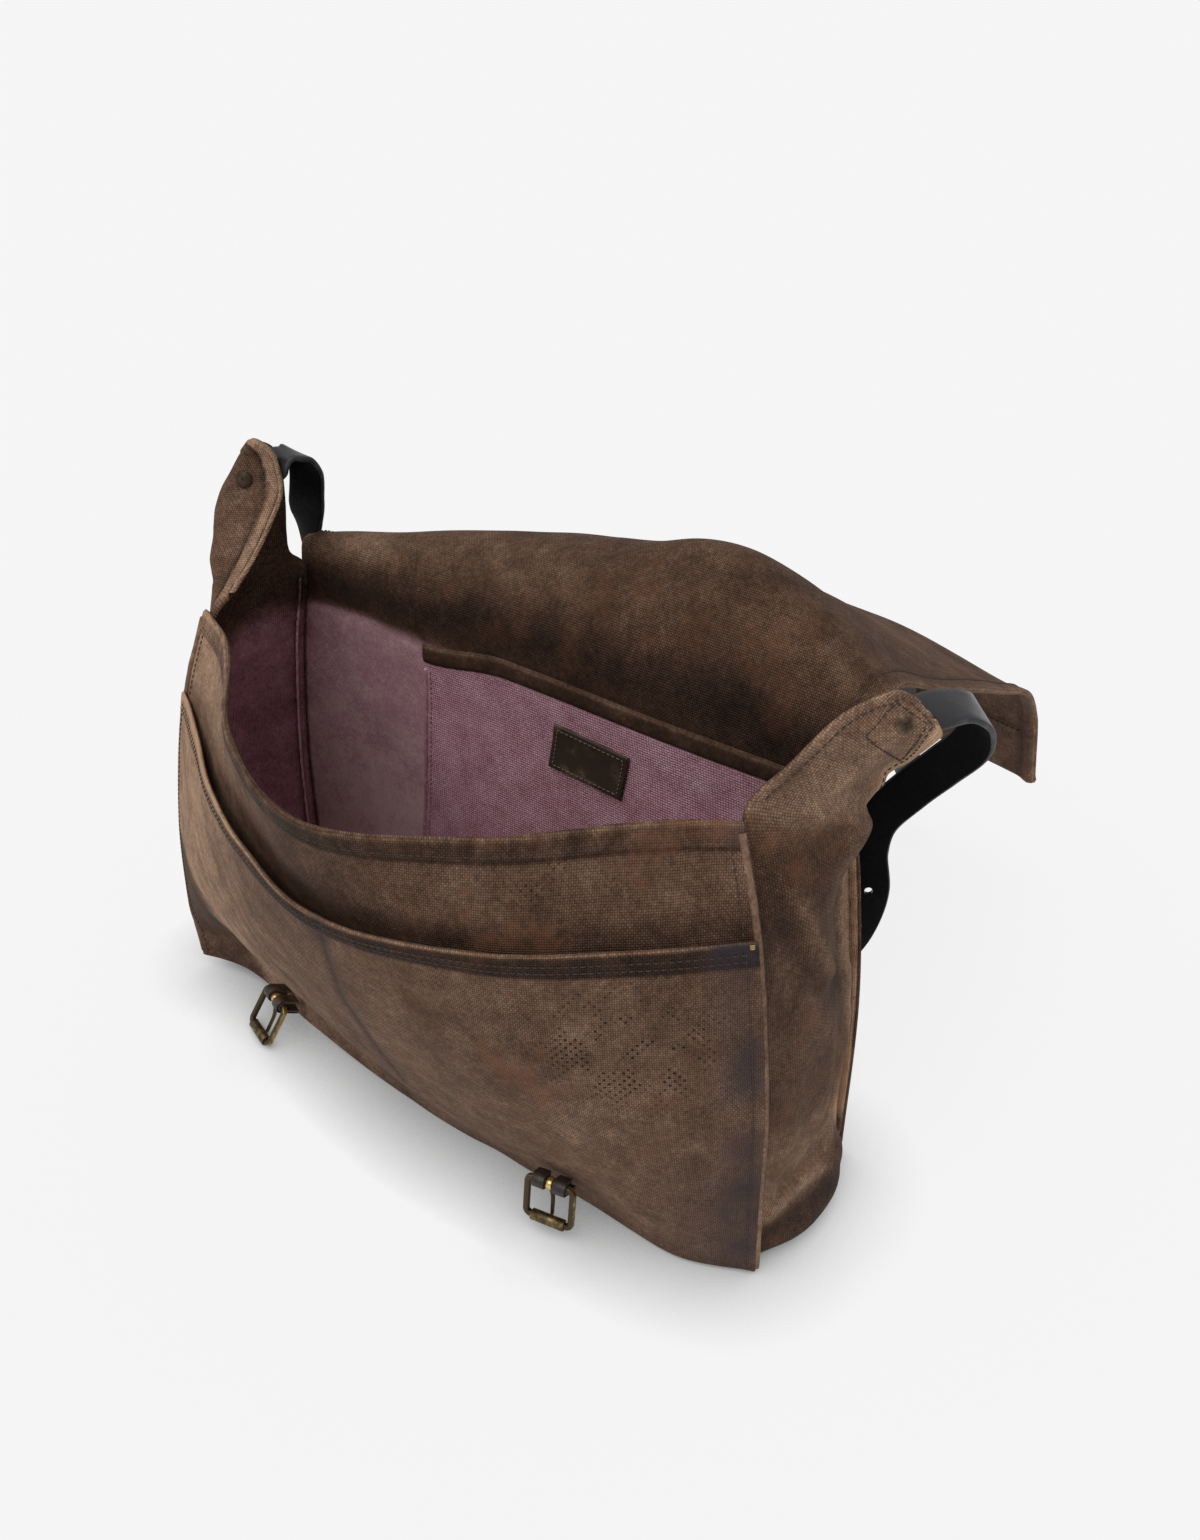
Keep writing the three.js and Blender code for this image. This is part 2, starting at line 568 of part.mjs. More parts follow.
// Round bar swept through points; closed makes a ring of it.
function tube(points, radius, sides, ringed) {
  const n = points.length;
  const rings = points.map((p, i) => {
    const prev = points[ringed ? (i + n - 1) % n : Math.max(0, i - 1)];
    const next = points[ringed ? (i + 1) % n : Math.min(n - 1, i + 1)];
    const along = next.clone().sub(prev).normalize();
    const across = along.clone().cross(vec(0, 0, 1));
    if (across.length() < 0.1) across.set(1, 0, 0);
    across.normalize();
    const up = across.clone().cross(along);
    const r = typeof radius === "function" ? radius(i / (n - 1)) : radius;
    return steps(0, 2 * Math.PI, sides).slice(0, sides).map((angle) =>
      p.clone().addScaledVector(across, r * Math.cos(angle)).addScaledVector(up, r * Math.sin(angle)));
  });
  const index = [];
  const last = ringed ? n : n - 1;
  for (let i = 0; i < last; i += 1) {
    for (let k = 0; k < sides; k += 1) {
      const [a, b] = [i * sides + k, i * sides + ((k + 1) % sides)];
      const [c, d] = [((i + 1) % n) * sides + k, ((i + 1) % n) * sides + ((k + 1) % sides)];
      index.push(a, b, d, a, d, c);
    }
  }
  if (!ringed) {
    for (let k = 1; k < sides - 1; k += 1) {
      index.push(0, k + 1, k);
      const end = (n - 1) * sides;
      index.push(end, end + k, end + k + 1);
    }
  }
  return closed(rings.flat(), index);
}

const alongX = (geometry) => geometry.rotateY(Math.PI / 2);
const sleeve = (bore, out, half) => turned([[bore, -half], [out, -half], [out, half], [bore, half]], 18);

for (const b of BUCKLES) {
  const bar = vec(...b.bar);
  const x = vec(Math.cos(b.turn), Math.sin(b.turn), 0);
  const ahead = vec(Math.sin(b.turn), -Math.cos(b.turn), 0);
  const y = ahead.clone().multiplyScalar(Math.cos(b.hang)).add(vec(0, 0, -Math.sin(b.hang)));
  const z = x.clone().cross(y);
  add(`${b.side}_buckle_frame`, placed(tube(frameLoop(), FRAME.wire, 10, true), bar, x, y, z));
  const far = bar.clone().addScaledVector(y, FRAME.long);
  add(`${b.side}_buckle_roller`, placed(alongX(sleeve(ROLLER.bore, ROLLER.out, ROLLER.half)), far, x, y, z));

  // The prong lies against the back of the roller.
  const rest = ROLLER.out + PRONG.thick + 0.15;
  const finger = [
    { y: 2.4, z: 0.6 },
    { y: 6, z: rest * 0.45 },
    { y: 12, z: rest * 0.9 },
    { y: FRAME.long - 3, z: rest },
    { y: FRAME.long + PRONG.past, z: rest },
  ];
  const shaft = tube(finger.map((p) => vec(0, p.y, p.z)), (s) => PRONG.thick * (1 - 0.25 * s), 8, false);
  const eye = solidOf(alongX(sleeve(PRONG.bore, PRONG.out, PRONG.half)));
  const bore = solidOf(alongX(post(PRONG.bore, -9, 9)));
  const prong = geometryOf(eye.add(solidOf(shaft)).subtract(bore));
  add(`${b.side}_buckle_prong`, placed(prong, bar, x, y, z));

  // Tab: a leather fold round the bar, slotted for the prong, its leaves running back to the pocket.
  const [inner, outer] = [TAB.bore, TAB.bore + TAB.wall];
  const shape = new THREE.Shape();
  shape.moveTo(b.over, outer);
  shape.lineTo(0, outer);
  shape.absarc(0, 0, outer, Math.PI / 2, (3 * Math.PI) / 2, false);
  shape.lineTo(b.under, -outer);
  shape.lineTo(b.under, -inner);
  shape.lineTo(0, -inner);
  shape.absarc(0, 0, inner, (3 * Math.PI) / 2, Math.PI / 2, true);
  shape.lineTo(b.over, inner);
  const fold = new THREE.ExtrudeGeometry(shape, { depth: TAB.wide, bevelEnabled: false, curveSegments: 8 });
  fold.translate(0, 0, -TAB.wide / 2);
  const slot = new THREE.BoxGeometry(2 * (b.slot + 10), 30, TAB.slot).translate(-10, 0, 0);
  const cut = solidOf(welded(fold)).subtract(solidOf(welded(slot.toNonIndexed())));
  const [rise, run] = [Math.sin(b.dip), Math.cos(b.dip)];
  const inward = ahead.clone().multiplyScalar(-run).add(vec(0, 0, -rise));
  const over = ahead.clone().multiplyScalar(-rise).add(vec(0, 0, run));
  add(`${b.side}_buckle_tab`, placed(geometryOf(cut), bar, inward, over, inward.clone().cross(over)));
}

// FLAP STRAPS: one plain leather strap under the flap for each buckle, hanging past the free edge.
const FLAP_STRAP = { wide: 20, from: 535, past: 62, at: [-0.56, 0.52] };
FLAP_STRAP.at.forEach((across, k) => {
  const off = CANVAS + GAP + LEATHER / 2;
  const step = [0.002, 0.5];
  const frames = [];
  for (const run of steps(FLAP_STRAP.from, FLAP_END - 1, 5)) {
    const n = normalOf(back, across, run, step);
    if (n.z > 0 || n.y > 0.2) n.negate();
    const along = back(across, run + 0.5).sub(back(across, run - 0.5)).normalize();
    const wide = along.clone().cross(n).normalize();
    frames.push({ at: back(across, run).addScaledVector(n, off), wide, up: n, along });
  }
  const end = frames[frames.length - 1];
  for (const s of [0.35, 0.7, 1]) {
    const at = end.at.clone().addScaledVector(end.along, FLAP_STRAP.past * s);
    frames.push({ at, wide: end.wide, up: end.up });
  }
  add(`${k ? "right" : "left"}_flap_strap`, ribbon(frames, FLAP_STRAP.wide, LEATHER));
});

export default group;
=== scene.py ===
import math

import bpy
import numpy as np
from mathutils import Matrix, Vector


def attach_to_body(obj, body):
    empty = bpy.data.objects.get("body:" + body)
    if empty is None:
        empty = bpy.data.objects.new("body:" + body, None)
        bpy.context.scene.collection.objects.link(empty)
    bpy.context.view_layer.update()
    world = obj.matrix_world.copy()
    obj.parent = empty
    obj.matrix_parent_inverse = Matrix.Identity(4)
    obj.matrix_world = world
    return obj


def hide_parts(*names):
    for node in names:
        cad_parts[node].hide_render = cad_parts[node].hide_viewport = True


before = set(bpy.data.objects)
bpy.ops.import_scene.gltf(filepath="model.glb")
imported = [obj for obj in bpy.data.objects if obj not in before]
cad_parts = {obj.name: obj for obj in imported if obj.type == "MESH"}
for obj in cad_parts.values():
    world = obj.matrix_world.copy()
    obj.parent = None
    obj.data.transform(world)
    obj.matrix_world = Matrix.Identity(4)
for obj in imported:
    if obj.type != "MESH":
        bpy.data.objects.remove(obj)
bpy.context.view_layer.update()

MM = 0.001

# Sizes in millimetres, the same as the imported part's.
CANVAS = 2.0
GAP = 0.4
FLANGE = 5.0
LEATHER = 2.6
STRAP_WIDTH = 22.0
STRAP_THICK = 3.0

# Surfaces of the cloth


def vec(*xyz):
    return np.array(xyz, float)


def smooth(knots, values, at):
    """Smooth curve through values at rising knots. values may hold a column for each entry of at."""
    knots = np.asarray(list(knots), float)
    at = np.asarray(at, float)
    flat = at.ravel()
    values = np.asarray(values, float).reshape(len(knots), -1)
    last = len(knots) - 1
    i = np.clip(np.searchsorted(knots, flat) - 1, 0, last - 1)
    rows = np.arange(last + 1)
    below = np.maximum(rows - 1, 0)
    above = np.minimum(rows + 1, last)
    slopes = (values[above] - values[below]) / (knots[above] - knots[below])[:, None]
    column = 0 if values.shape[1] == 1 else np.arange(flat.size)
    width = knots[i + 1] - knots[i]
    s = np.clip((flat - knots[i]) / width, 0, 1)
    s2 = s * s
    s3 = s2 * s
    result = (
        (2 * s3 - 3 * s2 + 1) * values[i, column]
        + (s3 - 2 * s2 + s) * width * slopes[i, column]
        + (3 * s2 - 2 * s3) * values[i + 1, column]
        + (s3 - s2) * width * slopes[i + 1, column]
    )
    return result.reshape(at.shape)


def curve(rows, key, name, at):
    return smooth([row[key] for row in rows], [row[name] for row in rows], at)


def blend(rows, key, name, stations, across, at):
    values = np.stack([smooth(stations, row[name], across) for row in rows])
    return smooth([row[key] for row in rows], values, at)


def ramp(low, high, at):
    s = np.clip((np.asarray(at, float) - low) / (high - low), 0, 1)
    return s * s * (3 - 2 * s)


def bell(at, centre, width):
    return np.exp(-(((at - centre) / width) ** 2))


def pair(a, b):
    return np.broadcast_arrays(np.asarray(a, float), np.asarray(b, float))


def unit(v):
    return v / np.linalg.norm(v, axis=-1, keepdims=True)


def normal_of(surface, u, v, step=(0.002, 0.002)):
    du = surface(u + step[0], v) - surface(u - step[0], v)
    dv = surface(u, v + step[1]) - surface(u, v - step[1])
    return unit(np.cross(du, dv))


def noise(x, y, cell, seed):
    """Smooth noise between -1 and 1 over millimetres."""
    table = np.random.RandomState(seed).uniform(-1, 1, (64, 64))
    gx = np.asarray(x, float) / cell
    gy = np.asarray(y, float) / cell
    ix = np.floor(gx).astype(int)
    iy = np.floor(gy).astype(int)
    fx = ramp(0, 1, gx - ix)
    fy = ramp(0, 1, gy - iy)
    near = table[ix % 64, iy % 64] * (1 - fx) + table[(ix + 1) % 64, iy % 64] * fx
    far = table[ix % 64, (iy + 1) % 64] * (1 - fx) + table[(ix + 1) % 64, (iy + 1) % 64] * fx
    return near * (1 - fy) + far * fy


def ridge(x, y, path, width):
    """1 on a path of (x, y) points, falling to 0 a few widths away."""
    best = np.full(np.shape(x), 1e9)
    for (ax, ay), (bx, by) in zip(path, path[1:]):
        dx, dy = bx - ax, by - ay
        s = np.clip(((x - ax) * dx + (y - ay) * dy) / (dx * dx + dy * dy), 0, 1)
        best = np.minimum(best, np.hypot(x - ax - s * dx, y - ay - s * dy))
    return bell(best, 0, width)


# Front panel and pocket
ACROSS = [-1, -0.8, -0.45, 0, 0.45, 0.8, 1]
FRONT = [
    dict(up=0, left=205, right=201, height=[8, 8, 4, 2, 2, 2, 2],
         depth=[-46, -40, -51, -58, -59, -59, -46]),
    dict(up=0.08, left=208, right=201, height=[27, 31, 26, 22, 22, 22, 21],
         depth=[-45, -40, -50, -66, -67, -64, -47]),
    dict(up=0.18, left=209, right=200, height=[48, 66, 58, 50, 49, 48, 46],
         depth=[-45, -58, -70, -81, -79, -70, -47]),
    dict(up=0.45, left=202, right=197, height=[118, 116, 116, 116, 116, 116, 118],
         depth=[-44, -68, -92, -106, -102, -76, -45]),
    dict(up=0.8, left=181, right=184, height=[208, 206, 201, 198, 201, 206, 208],
         depth=[-41, -62, -98, -123, -107, -70, -40]),
    dict(up=1, left=167, right=167, height=[258, 256, 250, 248, 251, 256, 258],
         depth=[-31, -48, -101, -130, -99, -51, -31]),
]
POCKET_TOP = 0.8
POCKET_GAP = 0.9
POCKET_GAPE = [0, 3, 6, 5, 3, 1, 0]
UP_MM = 262.0  # cloth length from the bottom seam to the mouth


def half_at(across, up):
    left = curve(FRONT, "up", "left", up)
    right = curve(FRONT, "up", "right", up)
    return np.where(np.asarray(across) < 0, left, right)


def front(across, up):
    across, up = pair(across, up)
    return np.stack([
        across * half_at(across, up),
        blend(FRONT, "up", "depth", ACROSS, across, up),
        blend(FRONT, "up", "height", ACROSS, across, up),
    ], -1)


def out_of_front(surface, across, up):
    n = normal_of(surface, across, up)
    return n * np.where(n[..., 1:2] < 0, 1, -1)


# Back panel and flap
BACK_ACROSS = [-1, -0.5, 0, 0.5, 1]
BACK = [
    dict(run=0, half=198, depth=[50, 52, 53, 52, 50], height=[3, 3, 3, 3, 3]),
    dict(run=105, half=197, depth=[50, 55, 57, 55, 50], height=[108, 108, 108, 108, 108]),
    dict(run=185, half=189, depth=[50, 53, 55, 53, 50], height=[188, 188, 188, 188, 188]),
    dict(run=250, half=178, depth=[51, 53, 55, 54, 51], height=[249, 253, 255, 256, 252]),
    dict(run=296, half=180, depth=[61, 82, 97, 100, 82], height=[263, 277, 289, 306, 274]),
    dict(run=356, half=184, depth=[100, 135, 150, 152, 146], height=[240, 261, 275, 275, 244]),
    dict(run=440, half=186, depth=[178, 205, 217, 224, 225], height=[195, 222, 234, 228, 205]),
    dict(run=525, half=186, depth=[255, 274, 283, 290, 291], height=[135, 170, 182, 181, 165]),
    dict(run=610, half=185, depth=[292, 307, 315, 321, 327], height=[55, 90, 102, 103, 87]),
]
BACK_STEP = (0.002, 0.5)  # share and run by which its slope is measured
RIM_RUN = 250
FLAP_END = 610
FLAP_HEM = 46


def back_half(run):
    return curve(BACK, "run", "half", run)


def back(across, run):
    across, run = pair(across, run)
    return np.stack([
        across * back_half(run),
        blend(BACK, "run", "depth", BACK_ACROSS, across, run),
        blend(BACK, "run", "height", BACK_ACROSS, across, run),
    ], -1)


def back_at(across, height):
    return back(across, np.maximum(0, np.asarray(height, float) - 3))


# Gusset strip from tongue to tongue
QUARTERS = [0, 0.25, 0.5, 0.75, 1]
LEFT_SIDE = [
    dict(up=0.98, swell=[19, 20, 13]),
    dict(up=0.8, swell=[7, 11, 7]),
    dict(up=0.6, swell=[7, 10, 7]),
    dict(up=0.4, swell=[6, 9, 6]),
    dict(up=0.18, swell=[4, 6, 4]),
]
RIGHT_SIDE = [
    dict(up=0.17, swell=[4, 6, 5]),
    dict(up=0.3, swell=[7, 11, 9]),
    dict(up=0.5, swell=[9, 13, 5]),
    dict(up=0.75, swell=[9, 14, 5]),
    dict(up=0.92, swell=[14, 23, 30]),
]
LEFT_TONGUE = [
    dict(front=[-174, 34, 333], back=[-184, 48, 322], swell=[9, 11, 6]),
    dict(front=[-169, 34, 307], back=[-185, 50, 304], swell=[26, 29, 17]),
    dict(front=[-166, 21, 292], back=[-185, 49, 286], swell=[28, 31, 19]),
    dict(front=[-165, 4, 276], back=[-184, 46, 270], swell=[25, 27, 17]),
    dict(front=[-165, -12, 264], back=[-183, 46, 258], swell=[18, 19, 12]),
]
RIGHT_TONGUE = [
    dict(front=[166, -24, 262], back=[195, 42, 247], swell=[9, 14, 14]),
    dict(front=[177, -9, 280], back=[199, 43, 257], swell=[6, 9, 5]),
    dict(front=[190, 8, 300], back=[209, 43, 268], swell=[4, 6, 3]),
    dict(front=[199, 28, 303], back=[220, 35, 285], swell=[2, 3, 2]),
    dict(front=[203, 42, 301], back=[224, 38, 291], swell=[1, 1, 1]),
]
LEFT_OUT = vec(-0.75, -0.66, 0)
RIGHT_OUT = vec(0.81, -0.58, 0)
FLOOR_REACH = 0.3
FROM_FRONT = vec(0, CANVAS / 2 + GAP + 1.7, 0)
FROM_BACK = vec(0, -(CANVAS / 2 + GAP + 1.0), 0)
EDGE_BACK = 0.7  # how far a seam's gusset layer ends short of the panel's edge
LIP = 0.8  # the same layer where no seam shows


def station(front_edge, back_edge, out, swell, front_lip=None, back_lip=None):
    bulge = [0, *swell, 0]
    along = unit(front_edge - back_edge) * LIP
    front_lip = along if front_lip is None else front_lip
    back_lip = -along if back_lip is None else back_lip

    def at(t):
        inside = np.clip(t, 0, 1)
        p = front_edge + inside[..., None] * (back_edge - front_edge)
        p = p + out * smooth(QUARTERS, bulge, inside)[..., None]
        return p + np.clip(-t, 0, 1)[..., None] * front_lip + np.clip(t - 1, 0, 1)[..., None] * back_lip

    return at


def side_station(row, side):
    half = half_at(side, row["up"])
    inset = side * (1 - FLANGE / half)
    edge = side * (1 - EDGE_BACK / half)
    front_edge = front(inset, row["up"]) + FROM_FRONT
    back_edge = back_at(inset, front_edge[2]) + FROM_BACK
    front_lip = front(edge, row["up"]) + FROM_FRONT - front_edge
    back_lip = back_at(edge, front_edge[2]) + FROM_BACK - back_edge
    return station(front_edge, back_edge, vec(side, 0, 0), row["swell"], front_lip, back_lip)


def base_station(across):
    front_edge = front(across, 0) + FROM_FRONT
    back_edge = back_at(across, 0) + FROM_BACK
    lift = max(0, front_edge[2] - CANVAS / 2)
    along = unit(front_edge - back_edge) * LIP

    def at(t):
        inside = np.clip(t, 0, 1)
        p = front_edge + inside[..., None] * (back_edge - front_edge)
        fall = np.maximum(0, 1 - inside / FLOOR_REACH)
        p[..., 2] = CANVAS / 2 + lift * fall * fall
        return p + (np.clip(-t, 0, 1) - np.clip(t - 1, 0, 1))[..., None] * along

    return at


def corner_station(side, flare):
    inset = side * (1 - FLANGE / half_at(side, 0.05))
    front_edge = front(inset, 0.04) + FROM_FRONT
    back_edge = back_at(inset, 9) + FROM_BACK
    lip = vec(side * 3, 0, 0)
    return station(front_edge, back_edge, vec(side, 0, -0.1), flare, lip, lip)


def tongue_station(row, out):
    return station(vec(*row["front"]), vec(*row["back"]), out, row["swell"])


STRIP = [
    *[tongue_station(row, LEFT_OUT) for row in LEFT_TONGUE],
    *[side_station(row, -1) for row in LEFT_SIDE],
    corner_station(-1, [4, 6, 4]),
    *[base_station(across) for across in (-0.93, -0.7, -0.35, 0, 0.35, 0.7, 0.93)],
    corner_station(1, [14, 18, 15]),
    *[side_station(row, 1) for row in RIGHT_SIDE],
    *[tongue_station(row, RIGHT_OUT) for row in RIGHT_TONGUE],
]
LAST = len(STRIP) - 1


def strip(q, t):
    q, t = pair(q, t)
    stations = np.stack([at(t) for at in STRIP])
    p = np.stack([smooth(range(LAST + 1), stations[..., axis], q) for axis in range(3)], -1)
    p[..., 2] = np.maximum(p[..., 2], CANVAS / 2)
    return p


# Inner pocket, its binding and the patch
INNER_POCKET = dict(left=-84, left_low=-102, right=0.95, low=66, top=225, dip=9, dip_length=60)
INNER_WALL = 1.4
BINDING_HEIGHT = 11
POCKET_SLACK = 2.5
LABEL = dict(x=28.5, z=193, wide=48, tall=29, turn=-0.063, wall=1.6)
LABEL_LEAN = 0.16


def on_back(x, z, off):
    return back_at(x / back_half(z - 3), z) + off[..., None] * vec(0, -1, 0)


def inner_span(z):
    h = (z - INNER_POCKET["low"]) / (INNER_POCKET["top"] - INNER_POCKET["low"])
    left = INNER_POCKET["left_low"] + (INNER_POCKET["left"] - INNER_POCKET["left_low"]) * h
    right = INNER_POCKET["right"] * back_half(z - 3) - 4
    return h, left, right


def inner_off(s, h):
    return CANVAS / 2 + GAP + 0.4 + INNER_WALL / 2 + POCKET_SLACK * h * np.sin(np.pi * np.clip(s, 0, 1))


def inner_pocket(s, h):
    s, h = pair(s, h)
    z = INNER_POCKET["low"] + (INNER_POCKET["top"] - INNER_POCKET["low"]) * h
    _, left, right = inner_span(z)
    x = left + (right - left) * s
    dip = INNER_POCKET["dip"] * h * (1 - ramp(0, INNER_POCKET["dip_length"], x - left))
    return on_back(x, z - dip, inner_off(s, h))


def label(s, h):
    a = (s - 0.5) * LABEL["wide"]
    b = (h - 0.5) * LABEL["tall"]
    x = LABEL["x"] + a * math.cos(LABEL["turn"]) - b * math.sin(LABEL["turn"]) + LABEL_LEAN * b
    z = LABEL["z"] + a * math.sin(LABEL["turn"]) + b * math.cos(LABEL["turn"])
    rise, left, right = inner_span(z)
    off = inner_off((x - left) / (right - left), rise) + INNER_WALL / 2 + 0.3 + LABEL["wall"] / 2
    return on_back(x, z, off)


# Relief that the cloth has beyond the plain solids
POCKET_DIVIDER = [
    (x, up * UP_MM) for x, up in ((5, 0.79), (0, 0.66), (-3, 0.51), (-1, 0.35), (4, 0.2))
]
GUSSET_WIDE = 92.0  # cloth across the strip
STATION_LONG = 46.0  # cloth from one station of the strip to the next


def strip_mm(path):
    return [(t * GUSSET_WIDE, q * STATION_LONG) for q, t in path]


# Folds of the strip, each a path of stations and shares across it.
BACK_FOLD = strip_mm([(24.1, 0.9), (23.2, 0.86), (22.4, 0.85), (21.7, 0.85), (21.25, 0.81)])
PINCH = strip_mm([(21.4, 0.58), (21.26, 0.8)])
SLANT_FOLD = strip_mm([(22.59, 0.23), (22.39, 0.28), (21.94, 0.38), (21.59, 0.5), (21.46, 0.58)])
UNDER_FOLD = strip_mm([(22.2, 0.19), (21.75, 0.32), (21.4, 0.46), (21.22, 0.6), (21.1, 0.78)])
SECOND_FOLD = strip_mm([(21.1, 0.93), (20.7, 0.95), (20.4, 0.86), (20.3, 0.7), (19.7, 0.55)])
LOW_CREASE = strip_mm([(18.63, 0.02), (18.78, 0.23), (18.73, 0.45), (18.6, 0.62), (18.3, 0.9)])
MIDDLE_FOLD = strip_mm([(20.9, 0.55), (19.9, 0.5), (19.1, 0.4)])
FRONT_FOLD = strip_mm([(21.6, 0.3), (20.6, 0.25), (19.4, 0.2)])
# Each fold with how far it stands out, or how strongly it is tinted, and its width.
RAISED_FOLDS = [
    (PINCH, -3.2, 3.5), (SLANT_FOLD, 2.4, 4.5), (UNDER_FOLD, -1.6, 5), (SECOND_FOLD, 2.4, 5),
    (LOW_CREASE, 2.6, 6), (MIDDLE_FOLD, 1.2, 6), (FRONT_FOLD, 1.2, 6),
]
RAISED_BACK = [(BACK_FOLD, 2.2, 4)]
RUBBED_FOLDS = [
    (BACK_FOLD, 1.0, 3.0), (SECOND_FOLD, 0.6, 3.0), (LOW_CREASE, 0.5, 3.0), (SLANT_FOLD, 0.6, 2.6),
]
# Painted shade in the pinch's dent and in the fold under the slanting fold.
PINCHED_FOLDS = [(PINCH, 1.0, 3.2), (UNDER_FOLD, 0.7, 5.0)]
TONGUE_ROUND = 0.42  # stations over which a tongue's end is rounded
TONGUE_END = 0.42  # share of the width left at the very end


def slanted(x, y):
    """Distances across and along the slanting creases of the pocket's left half."""
    return 0.9 * x + 0.45 * y, 0.45 * x - 0.9 * y


def front_relief(across, up):
    x = across * half_at(across, up)
    y = up * UP_MM
    soft = 1.1 * noise(x, y, 55, 3) + 0.5 * noise(x, y, 23, 4)
    slant, along = slanted(x, y)
    creased = ramp(-0.15, -0.4, across) * ramp(0.02, 0.15, up) * ramp(0.85, 0.6, up)
    creases = creased * 0.7 * noise(slant, along, 9, 5) * (0.6 + 0.4 * noise(slant, along / 6, 14, 6))
    edge = ramp(1.0, 0.93, np.abs(across))
    return edge * (soft + creases)


def front_cloth(across, up):
    p = front(across, up)
    n = out_of_front(front, across, up)
    return p + n * front_relief(across, up)[..., None]


def pocket_cloth(across, up):
    off = CANVAS + POCKET_GAP + smooth(ACROSS, POCKET_GAPE, across) * ramp(0.25, POCKET_TOP, up)
    p = front(across, up)
    n = out_of_front(front, across, up)
    divider = ridge(across * half_at(across, up), up * UP_MM, POCKET_DIVIDER, 2.2)
    return p + n * (off + front_relief(across, up) - 0.7 * divider)[..., None]


def back_cloth(across, run):
    x = across * back_half(run)
    p = back(across, run)
    n = normal_of(back, across, run, BACK_STEP)
    loose = ramp(210, 300, run)
    soft = (0.5 + 1.4 * loose) * noise(x, run, 60, 11) + 0.6 * loose * noise(x, run, 26, 12)
    return p + n * (soft * ramp(1.0, 0.94, np.abs(across)))[..., None]


def on_strip(q, t, folds):
    """Sum of folds at a place on the strip."""
    x, y = np.clip(t, 0, 1) * GUSSET_WIDE, q * STATION_LONG
    return sum(weight * ridge(x, y, path, width) for path, weight, width in folds)


def strip_relief(q, t):
    x, y = np.clip(t, 0, 1) * GUSSET_WIDE, q * STATION_LONG
    inside = ramp(0, 0.1, t) * ramp(1, 0.9, t)
    on_side = np.maximum(ramp(11.2, 9.8, q), ramp(17.6, 19, q))
    relief = on_side * (1.1 * noise(x, y, 38, 21) + 0.5 * noise(x, y, 17, 22))
    relief = relief + on_strip(q, t, RAISED_FOLDS) + ramp(23, 22, q) * on_strip(q, t, RAISED_BACK)
    relief = relief - 3.2 * bell(q, 23.25, 0.5) * bell(t, 0.83, 0.16)
    relief = relief + 2.0 * bell(q, 24.6, 0.45) * bell(t, 0.85, 0.16)
    return inside * relief


def rounded_strip(q, t):
    """The strip with the corners of its tongues rounded off."""
    left = np.clip(np.minimum(q, LAST - q) / TONGUE_ROUND, 0, 1)
    share = TONGUE_END + (1 - TONGUE_END) * np.sqrt(1 - (1 - left) ** 2)
    inside = np.clip(t, 0, 1)
    return strip(q, 0.5 + (inside - 0.5) * share) + strip(q, t) - strip(q, inside)


def strip_cloth(q, t):
    q, t = pair(q, t)
    p = rounded_strip(q, t)
    n = normal_of(strip, q, t)
    p = p + n * (STRIP_OUT * strip_relief(q, t))[..., None]
    p[..., 2] = np.maximum(p[..., 2], CANVAS / 2)
    return p


STRIP_OUT = np.sign(normal_of(strip, 21.0, 0.5)[0])
BACK_IN = np.sign(-normal_of(back, 0.0, 120.0, BACK_STEP)[1])
FRONT_OUT = np.sign(-normal_of(front, 0.0, 0.5)[1])
POCKET_OUT = np.sign(-normal_of(inner_pocket, 0.5, 0.5)[1])


# Meshes


def link(name, data):
    obj = bpy.data.objects.new(name, data)
    bpy.context.scene.collection.objects.link(obj)
    return obj


def mesh_object(name, verts, faces, materials, face_material=None, smooth_faces=True):
    mesh = bpy.data.meshes.new(name)
    faces = faces if isinstance(faces, list) else faces.tolist()
    mesh.from_pydata((np.asarray(verts) * MM).tolist(), [], faces)
    for material in materials:
        mesh.materials.append(material)
    if face_material is not None:
        mesh.polygons.foreach_set("material_index", np.asarray(face_material, np.int32))
    mesh.polygons.foreach_set("use_smooth", np.full(len(mesh.polygons), smooth_faces))
    mesh.update()
    return link(name, mesh)


def attach(obj, body, slot, *nodes):
    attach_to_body(obj, body)
    if nodes:
        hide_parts(*nodes)
    return obj


def set_points(obj, key, values):
    """Stores a value on each vertex, for the materials to read."""
    values = np.full(len(obj.data.vertices), values, np.float32)
    obj.data.attributes.new(key, "FLOAT", "POINT").data.foreach_set("value", values)


def ring_faces(count, ring, looped=False):
    """Quads that join a row of rings, with a cap on each end unless the row is looped."""
    ids = np.arange(count * ring).reshape(count, ring)
    ahead = np.roll(ids, -1, axis=1)
    quads = np.stack([ids, ahead, np.roll(ahead, -1, axis=0), np.roll(ids, -1, axis=0)], -1)
    if looped:
        return quads.reshape(-1, 4).tolist()
    return quads[:-1].reshape(-1, 4).tolist() + [ids[0][::-1].tolist(), ids[-1].tolist()]


def flipped(faces):
    return [face[:1] + face[:0:-1] for face in faces]


def arc_lengths(grid, axis):
    steps = np.linalg.norm(np.diff(grid, axis=axis), axis=-1)
    start = np.zeros_like(np.take(steps, [0], axis=axis))
    return np.concatenate([start, np.cumsum(steps, axis=axis)], axis=axis)


EDGE_WEAR = 0.06  # how much lighter a rim is than the cloth beside it
RIM_CLOTH = 1.2  # cloth that turns over a rim
RIM_ROUND = 0.42  # share of the wall by which a rim is rounded out
STITCH_RING = 6
STITCH_STEPS = 5
STITCH_RISE = np.array([-0.5, 0.75, 1.0, 0.75, -0.5])
STITCH_FACES = ring_faces(STITCH_STEPS, STITCH_RING)


